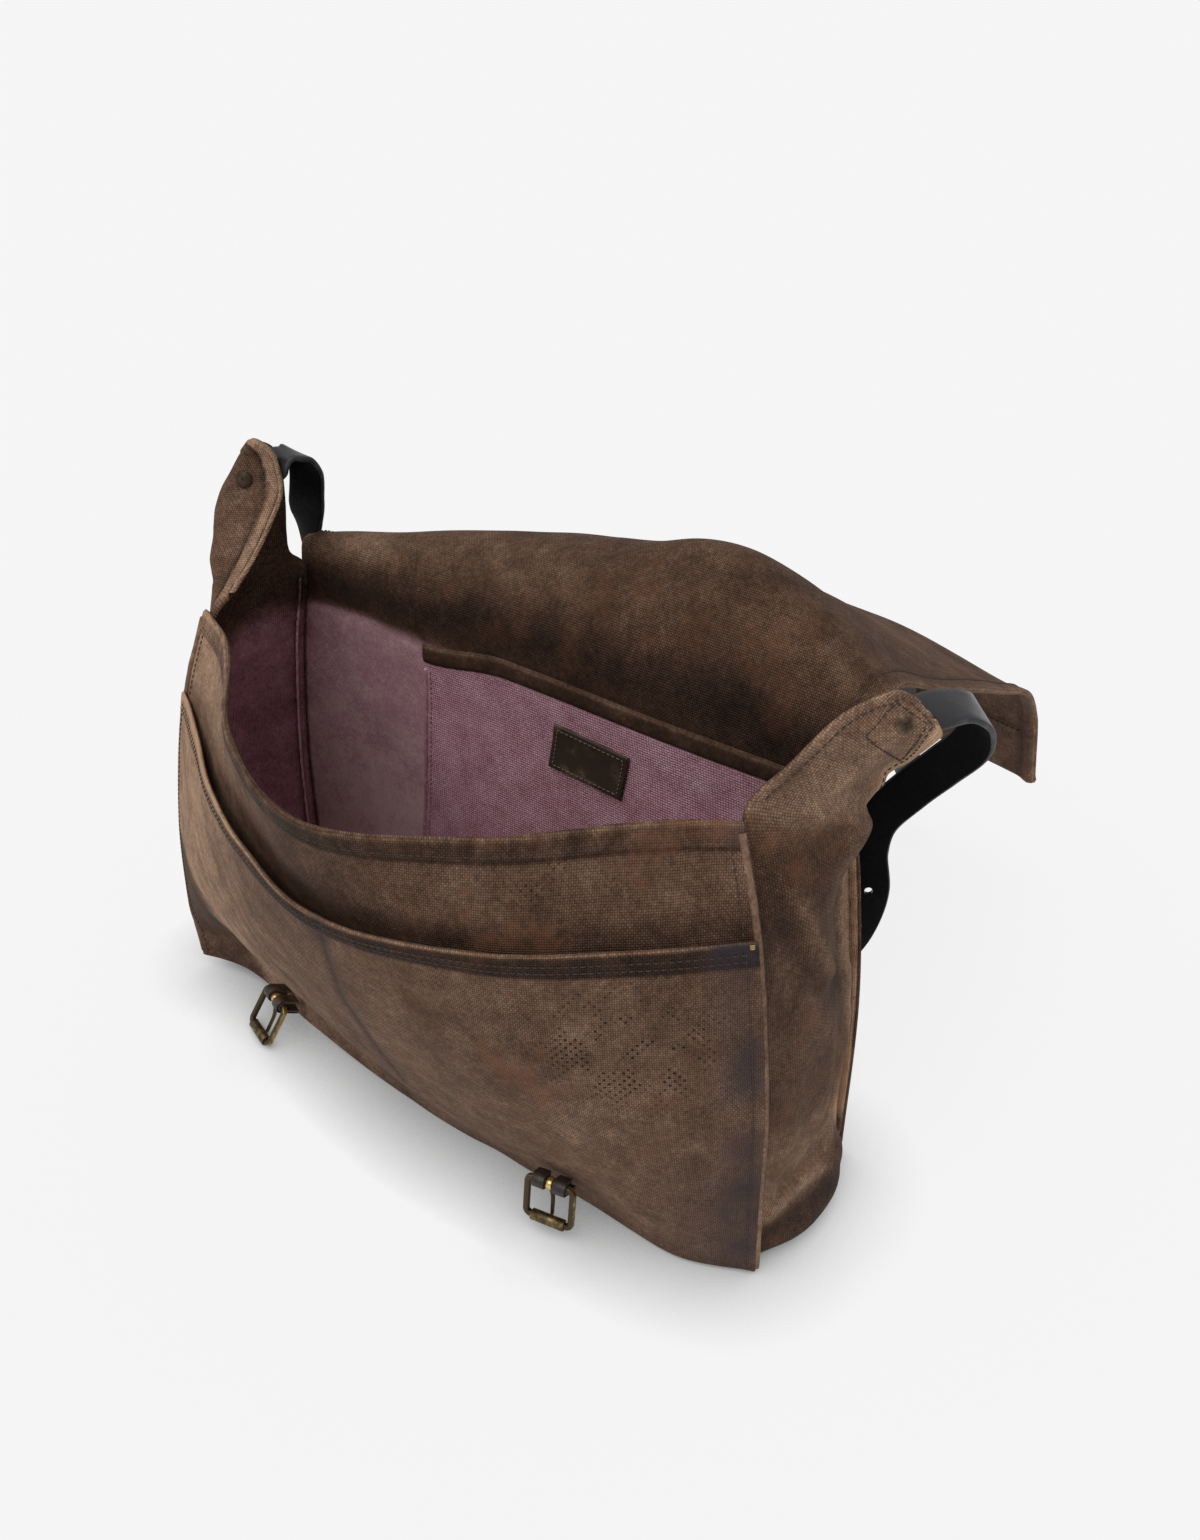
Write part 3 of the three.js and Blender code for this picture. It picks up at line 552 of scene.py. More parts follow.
def cloth_mesh(name, surface, us, vs, wall, out, materials, paint, spine=False):
    """A sewn layer: both faces of a fine grid with a rounded rim. paint(u, v, mid) gives both faces' tints.
    spine measures the weave from the middle row, for a long strip that curls."""
    u, v = np.meshgrid(us, vs)
    mid = surface(u, v)
    du = np.gradient(mid, axis=1)
    dv = np.gradient(mid, axis=0)
    n = unit(np.cross(du, dv)) * out
    thick = wall(u, v, mid)[..., None]
    rows, cols = u.shape
    count = rows * cols
    outer = (mid + n * thick / 2).reshape(-1, 3)
    inner = (mid - n * thick / 2).reshape(-1, 3)
    index = np.arange(count).reshape(rows, cols)
    quads = np.stack([index[:-1, :-1], index[:-1, 1:], index[1:, 1:], index[1:, :-1]], -1)
    quads = quads.reshape(-1, 4)
    rim = np.concatenate([index[0, :-1], index[:-1, -1], index[-1, :0:-1], index[:0:-1, 0]])
    flat = mid.reshape(-1, 3)
    outward = np.zeros_like(mid)
    outward[:, 0] -= unit(du[:, 0])
    outward[:, -1] += unit(du[:, -1])
    outward[0] -= unit(dv[0])
    outward[-1] += unit(dv[-1])
    outward = unit(outward.reshape(-1, 3)[rim])
    edge = flat[rim] + outward * thick.reshape(-1, 1)[rim] * RIM_ROUND
    edge[:, 2] = np.maximum(edge[:, 2], 0.1)
    verts = np.concatenate([outer, inner, edge])
    verts[:, 2] = np.maximum(verts[:, 2], 0.0)
    ring = 2 * count + np.arange(len(rim))
    ring_after, rim_after = np.roll(ring, -1), np.roll(rim, -1)
    top = np.stack([rim, rim_after, ring_after, ring], -1)
    low = np.stack([rim_after + count, rim + count, ring, ring_after], -1)
    if out < 0:
        quads = quads[:, ::-1]
    else:
        top, low = top[:, ::-1], low[:, ::-1]
    faces = np.concatenate([quads, quads[:, ::-1] + count, top, low])
    kinds = np.concatenate([
        np.zeros(len(quads)), np.ones(len(quads)), np.full(2 * len(rim), 2),
    ]).astype(np.int32)
    obj = mesh_object(name, verts, faces, materials, kinds)
    around = arc_lengths(mid, 1)
    around = around - around[:, [cols // 2]]
    along = arc_lengths(mid, 0)
    if spine:
        around = np.broadcast_to(around[[rows // 2]], around.shape)
        along = along - along[[rows // 2]]
    flat_uv = np.stack([around, along], -1).reshape(-1, 2)
    past = np.zeros((rows, cols, 2))
    past[:, 0, 0] = past[0, :, 1] = -RIM_CLOTH
    past[:, -1, 0] = past[-1, :, 1] = RIM_CLOTH
    per_vertex = np.concatenate([flat_uv, flat_uv, flat_uv[rim] + past.reshape(-1, 2)[rim]])
    layer = obj.data.uv_layers.new(name="cloth")
    layer.data.foreach_set("uv", per_vertex[faces.ravel()].astype(np.float32).ravel())
    for key, (front_value, back_value) in paint(u, v, mid).items():
        front_value = np.broadcast_to(front_value, u.shape).ravel()
        back_value = np.broadcast_to(back_value, u.shape).ravel()
        values = np.concatenate([front_value, back_value, (front_value + back_value)[rim] / 2])
        if key == "tone":
            values[2 * count:] += EDGE_WEAR
        set_points(obj, key, values)
    return obj


def stitches(name, lines, thread, length=2.6, gap=0.9, radius=0.34):
    """Rows of raised stitches. Each line is points and normals along a seam."""
    angle = np.arange(STITCH_RING) * 2 * np.pi / STITCH_RING
    cos, sin = np.cos(angle)[:, None], np.sin(angle)[:, None]
    verts = []
    for points, normals in lines:
        run = np.concatenate([[0], np.cumsum(np.linalg.norm(np.diff(points, axis=0), axis=1))])
        count = max(1, int(run[-1] // (length + gap)))
        starts = (np.arange(count) + 0.5) * run[-1] / count - length / 2
        at = starts[:, None] + np.linspace(0, length, STITCH_STEPS)
        p = np.stack([np.interp(at, run, points[:, k]) for k in range(3)], -1)
        n = unit(np.stack([np.interp(at, run, normals[:, k]) for k in range(3)], -1))
        across = unit(np.cross(n, unit(np.gradient(p, axis=1))))
        p = p + n * (STITCH_RISE * radius)[None, :, None]
        rings = p[:, :, None] + radius * (cos * across[:, :, None] + sin * n[:, :, None])
        verts.append(rings.reshape(-1, 3))
    verts = np.concatenate(verts)
    bases = range(0, len(verts), STITCH_STEPS * STITCH_RING)
    faces = [[base + i for i in face] for base in bases for face in STITCH_FACES]
    return mesh_object(name, verts, faces, [thread])


def seam_line(surface, us, vs, off, out, step=(0.002, 0.002)):
    """Points and normals along a path of surface parameters, lifted by off."""
    us, vs = pair(us, vs)
    n = normal_of(surface, us, vs, step) * out
    return surface(us, vs) + n * off, n


# Materials


class Shader:
    def __init__(self, name):
        self.material = bpy.data.materials.new(name)
        self.material.use_nodes = True
        self.tree = self.material.node_tree
        self.surface = self.tree.nodes["Principled BSDF"]

    def feed(self, socket, value):
        if isinstance(value, bpy.types.NodeSocket):
            self.tree.links.new(value, socket)
        else:
            socket.default_value = value

    def node(self, kind, values, **settings):
        node = self.tree.nodes.new("ShaderNode" + kind)
        for key, value in settings.items():
            setattr(node, key, value)
        for key, value in values.items():
            self.feed(node.inputs[key], value)
        return node

    def set(self, **values):
        for key, value in values.items():
            self.feed(self.surface.inputs[key.replace("_", " ")], value)

    def math(self, operation, *values):
        return self.node("Math", dict(enumerate(values)), operation=operation).outputs[0]

    def place(self):
        return self.node("TexCoord", {}).outputs["Object"]

    def noise(self, scale, detail=3.0, rough=0.55, at=None):
        at = self.place() if at is None else at
        values = {"Vector": at, "Scale": scale, "Detail": detail, "Roughness": rough}
        return self.node("TexNoise", values).outputs["Fac"]

    def span(self, value, low, high, to_low=0.0, to_high=1.0):
        values = {0: value, 1: low, 2: high, 3: to_low, 4: to_high}
        return self.node("MapRange", values, interpolation_type="SMOOTHSTEP").outputs[0]

    def mix(self, factor, a, b, blend_type="MIX"):
        node = self.node("Mix", {0: factor}, data_type="RGBA", blend_type=blend_type)
        self.feed(node.inputs[6], (*a, 1) if isinstance(a, tuple) else a)
        self.feed(node.inputs[7], (*b, 1) if isinstance(b, tuple) else b)
        return node.outputs[2]

    def colours(self, factor, stops):
        node = self.node("ValToRGB", {0: factor})
        elements = node.color_ramp.elements
        while len(elements) < len(stops):
            elements.new(0.5)
        for element, (position, colour) in zip(elements, stops):
            element.position = position
            element.color = (*colour, 1)
        return node.outputs[0]

    def centred(self, value, weight, base):
        """base plus weight times a noise value about its middle."""
        return self.math("MULTIPLY_ADD", self.math("SUBTRACT", value, 0.5), weight, base)

    def attribute(self, name):
        return self.node("Attribute", {}, attribute_name=name).outputs["Fac"]

    def bump(self, height, strength, distance, under=None):
        values = {"Height": height, "Strength": strength, "Distance": distance}
        node = self.node("Bump", values)
        if under is not None:
            self.feed(node.inputs["Normal"], under)
        return node.outputs["Normal"]


BROWNS = [
    (0.0, (0.012, 0.006, 0.0036)),
    (0.3, (0.047, 0.0245, 0.0148)),
    (0.5, (0.106, 0.0585, 0.0365)),
    (0.7, (0.192, 0.116, 0.0775)),
    (0.85, (0.31, 0.195, 0.128)),
    (1.0, (0.47, 0.30, 0.185)),
]
MAUVES = [
    (0.0, (0.06, 0.018, 0.022)),
    (0.25, (0.20, 0.086, 0.097)),
    (0.5, (0.41, 0.197, 0.24)),
    (0.8, (0.64, 0.375, 0.45)),
    (1.0, (0.78, 0.57, 0.61)),
]
RUST = (0.19, 0.075, 0.036)
INK = (0.032, 0.027, 0.033)
WORN_HOLE = (0.012, 0.008, 0.006)
WEAVE = (1.05, 1.25)  # spacing of the threads across the cloth and up it
COARSE_WEAVE = (1.55, 1.65)
TAPE_WEAVE = (0.7, 0.7)
HOLES = (2.3, 2.3)  # spacing of the worn holes in the weave


def waves(s, pitches, wobble):
    """Product of two waves over the cloth's own millimetres."""
    uv = s.node("UVMap", {}, uv_map="cloth").outputs["UV"]
    split = s.node("SeparateXYZ", {0: uv})
    turns = [
        s.math("SINE", s.math("MULTIPLY", s.math("ADD", split.outputs[k], wobble), math.pi / pitch))
        for k, pitch in enumerate(pitches)
    ]
    return s.math("MULTIPLY", *turns)


def canvas(name, pitches, gloss, dots=0.26):
    """Waxed plain weave. Its tints are read from the piece: tone, warm, cool, mauve and holes."""
    s = Shader(name)
    wobble = s.centred(s.noise(90.0, 2.0), 0.9, 0.0)
    weave = waves(s, pitches, wobble)
    crown = s.math("POWER", s.math("ABSOLUTE", weave), 0.6)
    patches = s.noise(13.0, 3.0, 0.55)
    blotch = s.noise(60.0, 6.0, 0.72)
    grain = s.noise(480.0, 3.0, 0.7)
    creased = s.math("ABSOLUTE", s.centred(s.noise(34.0, 5.0, 0.6), 2.0, 0.0))
    creased = s.span(creased, 0.05, 0.0)
    tone = s.centred(patches, 0.34, 0.47)
    tone = s.centred(blotch, 0.66, tone)
    tone = s.centred(grain, 0.4, tone)
    tone = s.math("ADD", tone, s.attribute("tone"))
    tone = s.math("MULTIPLY_ADD", creased, 0.05, tone)
    worn_weave = s.span(s.noise(26.0, 2.0), 0.3, 0.7, 0.02, 0.08)
    tone = s.math("MULTIPLY_ADD", weave, worn_weave, tone)
    # The gaps between the threads are darkened against their crowns: painted shade in the weave.
    tone = s.math("MULTIPLY_ADD", s.math("SUBTRACT", crown, 0.6), dots, tone)
    brown = s.colours(tone, BROWNS)
    mauve = s.colours(tone, MAUVES)
    rusty = s.span(s.noise(34.0, 6.0, 0.7), 0.48, 0.72)
    rusty = s.math("MULTIPLY", rusty, s.attribute("warm"))
    brown = s.mix(rusty, brown, s.mix(0.5, brown, RUST))
    colour = s.mix(s.attribute("mauve"), brown, mauve)
    cool = s.math("MULTIPLY", s.attribute("cool"), s.span(blotch, 0.3, 0.6, 0.4, 1.0))
    colour = s.mix(cool, colour, INK)
    open_weave = s.span(waves(s, HOLES, wobble), 0.45, 0.75)
    open_weave = s.math("MULTIPLY", open_weave, s.span(s.noise(85.0, 3.0), 0.5, 0.58))
    colour = s.mix(s.math("MULTIPLY", open_weave, s.attribute("holes")), colour, WORN_HOLE)
    rough = s.span(tone, 0.2, 0.9, gloss, gloss + 0.2)
    fuzz = s.bump(grain, 0.3, 0.0006)
    s.set(Base_Color=colour, Roughness=rough, Normal=s.bump(crown, 0.7, 0.0006, fuzz))
    s.set(Specular_IOR_Level=0.13)
    return s.material


def hide(name, dark, light, rough, grain_scale, bump, wear, shine=0.4):
    """Leather: two tones in soft blotches with a fine grain."""
    s = Shader(name)
    cloud = s.noise(60.0, 4.0, 0.6)
    grain = s.noise(grain_scale, 3.0, 0.6)
    rubbed = s.span(cloud, 0.42, 0.75, 0.0, wear)
    rubbed = s.centred(grain, 0.35, rubbed)
    s.set(Base_Color=s.mix(s.span(rubbed, 0.0, 1.0), dark, light))
    s.set(Roughness=s.span(grain, 0.3, 0.7, rough - 0.08, rough + 0.08))
    s.set(Normal=s.bump(grain, bump, 0.0005), Specular_IOR_Level=shine)
    return s.material


def brass(name, dark, bright, shine):
    """Antique brass: dark where it is tarnished and bright where rub says that it is handled."""
    s = Shader(name)
    cloud = s.noise(260.0, 4.0, 0.7)
    fine = s.noise(1500.0, 2.0)
    rub = s.centred(cloud, 0.9, s.attribute("rub"))
    s.set(Base_Color=s.mix(s.span(rub, 0.25, 0.85), dark, bright), Metallic=0.92)
    s.set(Roughness=s.span(rub, 0.2, 0.9, shine + 0.2, shine), Normal=s.bump(fine, 0.12, 0.0002))
    return s.material


def thread(name, colour):
    s = Shader(name)
    twist = s.noise(900.0, 2.0)
    s.set(Base_Color=s.mix(s.span(twist, 0.3, 0.7), tuple(c * 0.6 for c in colour), colour))
    s.set(Roughness=0.8, Normal=s.bump(twist, 0.4, 0.0003))
    return s.material


OUTER = canvas("waxed_canvas", WEAVE, 0.66)
INNER = canvas("inner_face", WEAVE, 0.74, 0.28)
INNER_CLOTH = canvas("inner_cloth", COARSE_WEAVE, 0.76, 0.45)
TAPE = canvas("binding_tape", TAPE_WEAVE, 0.45)
PATCH = hide("patch_leather", (0.04, 0.027, 0.017), (0.17, 0.118, 0.072),
             rough=0.6, grain_scale=700.0, bump=0.3, wear=0.8)
STRAP_FACE = hide("strap_face", (0.019, 0.018, 0.021), (0.043, 0.041, 0.047),
                  rough=0.36, grain_scale=900.0, bump=0.12, wear=0.4)
STRAP_FLESH = hide("strap_flesh", (0.003, 0.0027, 0.003), (0.010, 0.0092, 0.0097),
                   rough=0.95, grain_scale=500.0, bump=0.7, wear=0.3, shine=0.15)
STRAP_EDGE = hide("strap_edge", (0.02, 0.02, 0.022), (0.11, 0.108, 0.11),
                  rough=0.6, grain_scale=600.0, bump=0.4, wear=0.6)
TAB_LEATHER = hide("tab_leather", (0.022, 0.014, 0.010), (0.11, 0.066, 0.043),
                   rough=0.45, grain_scale=650.0, bump=0.3, wear=0.7)
BUCKLE_BRASS = brass("buckle_brass", (0.075, 0.055, 0.03), (0.72, 0.49, 0.2), 0.28)
RIVET_BRASS = brass("rivet_brass", (0.06, 0.04, 0.027), (0.26, 0.185, 0.125), 0.5)
DARK_THREAD = thread("dark_thread", (0.05, 0.035, 0.026))
WORN_THREAD = thread("worn_thread", (0.2, 0.14, 0.095))
GOLD_THREAD = thread("gold_thread", (0.5, 0.34, 0.15))
MAUVE_THREAD = thread("mauve_thread", (0.3, 0.17, 0.19))

# Front panel
HEM = 10.5
HEM_STITCH = HEM - 2.6  # how far below the mouth its stitches run
POCKET_HEM = 11.0
POCKET_STITCHES = (POCKET_HEM - 2.4, POCKET_HEM - 6.0)
# The lower left corner is tucked under along this line, given as across against up. Below it the cloth is
# painted in shade.
TUCK_LINE = dict(
    up=[0, 0.04, 0.145, 0.3, 0.36, 0.42, 0.5],
    across=[-0.7, -0.74, -0.77, -0.8, -0.88, -0.95, -1.1],
)
# How much lighter or darker each place is. Most are wear, stains and tone of the cloth; the painted light
# and shade are marked below.
FRONT_TINT = dict(
    # The bars along the hem are painted light and shade of its puckers.
    base=0.05, hem=-0.22, puckers=0.13, lip=0.22, hem_line=-0.26, edge=0.12, left=0.3, pocket_line=-0.2,
    # The tucked-under corner is painted shade.
    tucked=-0.42, middle=-0.06,
)
POCKET_TINT = dict(
    base=0.08, band=-0.36, lip=0.5, streaks=0.06, band_line=-0.18, left=0.3, edge=0.12, foot=-0.06,
    # The tucked-under corner is painted shade.
    foot_edge=0.08, tucked=-0.45, stain=-0.05, divider=-0.12,
)
POCKET_COOL = dict(base=0.0, low_right=0.6, corner=0.7, beside=0.75, stain=0.45)
FLAP_TINT = dict(
    # The brown is a little darker all over and much darker at the mouth fold: painted shade, with dark tone
    # of the cloth in the fold.
    base=0.0, brown=-0.05, mouth=-0.3, flap=0.05, crest=-0.02, low=0.09, left=0.22, rim=0.14, mauve=0.14,
    mauve_left=0.14, mauve_low=0.18,
)
GUSSET_TINT = dict(
    # The pinch, the hollow and the cloth below the low crease are painted shade; the bulge above that
    # crease is painted light.
    base=0.05, rolled=0.34, groove=-0.2, rim=0.12, lip=0.08, tongue=0.17, rubbed=0.22, pinched=-0.24,
    front_half=-0.05, back_edge=0.3, beside_seam=-0.22, above_crease=0.18, below_crease=-0.2, hollow=-0.2,
)


def tint(weights, **places):
    """Sum of the tints of named places, each a mask over the cloth."""
    return weights["base"] + sum(weights[name] * mask for name, mask in places.items())


def steps(low, high, count):
    return np.linspace(low, high, count + 1)


def from_top(up, top):
    return (top - up) * UP_MM


def from_side(across, half):
    return (1 - np.abs(across)) * half


def off_seam(inset):
    """1 inside the bag, 0 on the seam allowance that stands outside it."""
    return ramp(4.5, 8.0, inset)


def edge_worn(across, up):
    """Light rubbed line along the side seams."""
    return bell(from_side(across, half_at(across, up)), 0, 2.6)


# Mask of the painted shade on the corner tucked under the tuck line.
def tucked_under(u, v):
    line = np.interp(v, TUCK_LINE["up"], TUCK_LINE["across"])
    return ramp(0.03, -0.08, u - line)


def even(wall):
    return lambda u, v, mid: np.full(u.shape, wall)


def front_paint(u, v, mid):
    x, z = mid[..., 0], mid[..., 2]
    d = from_top(v, 1)
    hem = ramp(HEM + 1, HEM - 1, d)
    tone = tint(
        FRONT_TINT,
        hem=hem * ramp(1.0, 0.5, u),
        # light and dark bars along the hem: painted light and shade of the puckers
        puckers=hem * noise(x, d * 0.15, 3.2, 31),
        lip=bell(d, 0, 1.4),
        hem_line=bell(d, HEM + 0.4, 1.1),
        edge=edge_worn(u, v),
        left=ramp(-0.1, -0.9, u),
        pocket_line=bell(v, POCKET_TOP + 0.02, 0.03),
        # painted shade on the tucked-under corner
        tucked=tucked_under(u, v),
        middle=bell(u, 0.05, 0.4),
    )
    warm = 0.3 + 0.75 * ramp(0, 0.5, u)
    mauve = ramp(236, 226, z + 4 * noise(x, z, 20, 32)) * off_seam(from_side(u, half_at(u, v)))
    holes = 0.8 * bell(u, 0.6, 0.16) * bell(v, 0.92, 0.05)
    return dict(tone=(tone, -0.05), warm=(warm, 0.2), cool=(0.5 * hem * ramp(0.93, 0.99, u), 0),
                mauve=(0, mauve), holes=(holes, 0))


def front_wall(u, v, mid):
    d = from_top(v, 1)
    ribs = 0.25 * noise(u * half_at(u, v), d * 0.1, 2.6, 33) * ramp(HEM, HEM - 2, d)
    return CANVAS + 1.6 * ramp(HEM + 0.6, HEM - 0.6, d) - 0.7 * bell(d, HEM_STITCH, 0.9) + ribs


FRONT_US = steps(-1, 1, 190)
FRONT_UPS = np.concatenate([steps(0, 0.935, 104), steps(0.94, 1, 15)])
front_panel = cloth_mesh("front_panel_cloth", front_cloth, FRONT_US, FRONT_UPS, front_wall, 1,
                         [OUTER, INNER, OUTER], front_paint)
attach(front_panel, "bag", "waxed_canvas", "front_panel")


# Front pocket
def pocket_paint(u, v, mid):
    x, y = mid[..., 0], v * UP_MM
    d = from_top(v, POCKET_TOP)
    band = ramp(POCKET_HEM + 1.2, POCKET_HEM - 1.2, d)
    slant, along = slanted(x, y)
    stain = ridge(x, y, POCKET_DIVIDER, 5.0)
    tone = tint(
        POCKET_TINT,
        band=band * ramp(-0.6, 0.1, u),
        lip=bell(d, 0, 0.9),
        streaks=noise(slant, along / 7, 7, 5) * ramp(-0.1, -0.45, u) * ramp(0.8, 0.6, v),
        band_line=bell(d, POCKET_HEM, 1.0),
        left=ramp(-0.1, -0.8, u),
        edge=edge_worn(u, v),
        foot=ramp(0.08, 0.0, v),
        foot_edge=bell(y, 0, 2.0),
        # painted shade on the tucked-under corner
        tucked=tucked_under(u, v),
        stain=stain,
        divider=ridge(x, y, POCKET_DIVIDER, 1.3),
    )
    cool = tint(
        POCKET_COOL,
        low_right=ramp(0.75, 0.97, u) * ramp(0.42, 0.12, v),
        corner=band * ramp(0.86, 0.98, u),
        beside=bell(u, 0.965, 0.05) * ramp(0.02, 0.2, v) * (0.7 + 0.6 * noise(x, y, 19, 34)),
        stain=stain,
    )
    warm = 0.25 * ramp(-0.6, 0, u) + 0.85 * bell(u, 0.55, 0.4) * bell(v, 0.5, 0.25)
    holes = 1.5 * bell(u, 0.74, 0.19) * bell(v, 0.6, 0.13)
    return dict(tone=(tone, -0.1), warm=(warm, 0.3), cool=(np.clip(cool, 0, 0.85), 0), mauve=(0, 0),
                holes=(np.clip(holes, 0, 1), 0))


def pocket_wall(u, v, mid):
    d = from_top(v, POCKET_TOP)
    doubled = ramp(POCKET_HEM + 0.8, POCKET_HEM - 0.8, d)
    return CANVAS + 0.5 * doubled - 0.4 * bell(d, POCKET_STITCHES[0], 0.9)


POCKET_US = steps(-0.994, 0.994, 190)
POCKET_UPS = np.concatenate([steps(0.006, 0.705, 92), steps(0.71, POCKET_TOP, 22)])
pocket = cloth_mesh("front_pocket_cloth", pocket_cloth, POCKET_US, POCKET_UPS, pocket_wall, 1,
                    [OUTER, OUTER, OUTER], pocket_paint)
attach(pocket, "bag", "waxed_canvas", "front_pocket")


# Back panel and flap
def by_flap_end(run):
    """1 on the last stretch of the flap, where its side hems roll up."""
    return ramp(FLAP_END - 75, FLAP_END - 60, run)


def flap_wall(u, run, mid):
    inset = from_side(u, back_half(run))
    side_hem = ramp(9.5, 8, inset) * ramp(RIM_RUN + 5, RIM_RUN + 30, run)
    end_hem = ramp(FLAP_END - FLAP_HEM - 1, FLAP_END - FLAP_HEM + 1, run)
    roll = bell(FLAP_END - run, 2.5, 2.8)
    side_roll = bell(inset, 3, 3) * by_flap_end(run)
    return CANVAS + np.maximum(1.4 * end_hem, 1.8 * side_hem) + 1.4 * roll + 3.0 * side_roll


def flap_paint(u, run, mid):
    x, z = mid[..., 0], mid[..., 2]
    on_flap = ramp(RIM_RUN - 30, RIM_RUN + 30, run)
    inset = from_side(u, back_half(run))
    end = FLAP_END - run
    left = ramp(-0.42, -0.5, u)
    mauve = ramp(231, 224, z + 5 * noise(x, z, 26, 41)) * ramp(262, 240, run) * off_seam(inset)
    rim = bell(inset, 0, 1.6) - 0.8 * bell(inset, 9.5, 1.6) - 0.9 * bell(inset, 7, 1.2) * by_flap_end(run)
    rim = on_flap * (rim + bell(end, 0, 1.6) - 0.7 * bell(end, FLAP_HEM, 1.6))
    tone_in = tint(
        FLAP_TINT,
        # a little darker over all the brown: painted shade
        brown=1 - mauve,
        # darker band at the mouth fold: dark tone of the cloth and painted shade
        mouth=bell(run, 246, 18) * (1 - mauve),
        flap=on_flap,
        crest=bell(run, 305, 30),
        low=ramp(330, 480, run),
        left=ramp(-0.3, -0.95, u) * on_flap,
        rim=rim,
        mauve=mauve,
        mauve_left=mauve * left,
        mauve_low=mauve * ramp(200, 90, z),
    )
    return dict(tone=(0.03 + 0.12 * rim, tone_in), warm=(0.4, 0.3 + 0.35 * on_flap),
                mauve=(0, mauve * (1 - 0.3 * left)))


FLAP_US = steps(-1, 1, 150)
FLAP_RUNS = np.concatenate([steps(0, RIM_RUN, 84), steps(RIM_RUN + 3, FLAP_END, 140)])
flap = cloth_mesh("back_and_flap_cloth", back_cloth, FLAP_US, FLAP_RUNS, flap_wall, -BACK_IN,
                  [OUTER, INNER, OUTER], flap_paint)
attach(flap, "bag", "waxed_canvas", "back_and_flap")


# Gusset
ROLLED = 7.5  # hem along the tongues' edges


def tongue_edges(q, t, mid):
    """Distances from the front edge, the back edge and the end, and masks of the two tongues."""
    across = arc_lengths(mid, 0)
    first = np.argmin(np.abs(t[:, 0]))
    last = np.argmin(np.abs(t[:, 0] - 1))
    along = arc_lengths(mid, 1)
    end = np.minimum(along, along[:, -1:] - along)
    on_left = ramp(5.2, 4.2, q)
    on_right = ramp(LAST - 5.2, LAST - 4.0, q)
    return np.abs(across - across[first]), np.abs(across[last] - across), end, on_left, on_right


def gusset_wall(q, t, mid):
    ahead, behind, end, on_left, on_right = tongue_edges(q, t, mid)
    hem = np.maximum(ramp(ROLLED + 0.7, ROLLED - 0.7, ahead), ramp(ROLLED + 0.7, ROLLED - 0.7, end))
    thin = np.maximum(ramp(5.7, 4.3, ahead), np.maximum(ramp(5.7, 4.3, behind), ramp(8.7, 7.3, end)))
    return CANVAS + 1.5 * hem * on_left + 0.7 * thin * on_right


def gusset_paint(q, t, mid):
    y, z = mid[..., 1], mid[..., 2]
    ahead, behind, end, on_left, on_right = tongue_edges(q, t, mid)
    rolled = ramp(ROLLED, ROLLED - 1.5, ahead) * on_left
    lip = np.maximum(ramp(-0.2, -0.9, t), ramp(1.2, 1.9, t))
    right = ramp(17, 18, q)
    # Below the low crease the cloth faces down: painted shade there, and painted light on the bulge above
    # it.
    below = ramp(18.75, 18.45, q) * right
    tone = tint(
        GUSSET_TINT,
        rolled=rolled,
        groove=bell(ahead, ROLLED + 0.8, 1.3) * on_left,
        rim=bell(np.minimum(np.minimum(ahead, behind), end), 0, 1.6) * on_right,
        lip=lip,
        tongue=on_right,
        rubbed=right * on_strip(q, t, RUBBED_FOLDS),
        # painted shade in the pinch and under the slanting fold
        pinched=right * on_strip(q, t, PINCHED_FOLDS),
        front_half=right * ramp(0.5, 0.0, t),
        back_edge=right * ramp(0.8, 0.95, t),
        beside_seam=bell(t, 0, 0.035) * ramp(24.2, 23.2, q) * ramp(4.5, 5.5, q),
        # painted light on the bulge above the low crease
        above_crease=right * ramp(20.6, 19.8, q) * (1 - below),
        # painted shade where the cloth below the crease faces down
        below_crease=below,
        # painted shade in the hollow
        hollow=ramp(24, 22.8, q) * ramp(21.6, 22.4, q) * ramp(0.7, 0.4, t),
    )
    mauve = ramp(228, 212, z - 0.15 * y + 6 * noise(y, z, 24, 51)) * (1 - lip)
    mauve = mauve * ramp(-0.02, 0.02, t) * ramp(1.02, 0.98, t)
    return dict(tone=(tone, -0.1 + 0.45 * rolled + 0.1 * mauve), warm=(0.8, 0.4), mauve=(0, mauve))


GUSSET_QS = np.concatenate([
    steps(0, 1, 40), steps(1, LAST - 1, LAST * 12)[1:-1], steps(LAST - 1, LAST, 40),
])
GUSSET_TS = np.concatenate([steps(-1, -0.1, 3), steps(0, 1, 52), steps(1.1, 2, 3)])
gusset = cloth_mesh("gusset_cloth", strip_cloth, GUSSET_QS, GUSSET_TS, gusset_wall, STRIP_OUT,
                    [OUTER, INNER, OUTER], gusset_paint, spine=True)
attach(gusset, "bag", "waxed_canvas", "gusset_strip")


# Inner pocket, binding and patch
def inner_paint(u, v, mid):
    return dict(tone=(0.12 + 0.05 * u + 0.06 * v, 0.0), warm=(0.1, 0.1), mauve=(1, 1))


INNER_US = steps(0, 1, 110)
inner = cloth_mesh("inner_pocket_cloth", inner_pocket, INNER_US, steps(0, 1, 70), even(INNER_WALL), 1,
                   [INNER_CLOTH] * 3, inner_paint)
attach(inner, "bag", "inner_cloth", "inner_pocket")


def binding(s, h):
    top = inner_pocket(s, np.ones_like(s))
    top[..., 2] += GAP + BINDING_HEIGHT * h
    top[..., 1] -= 0.9
    return top


def binding_wall(u, v, mid):
    return 1.4 + 2.0 * np.sqrt(np.clip(1 - (2 * v - 1) ** 2, 0, 1))


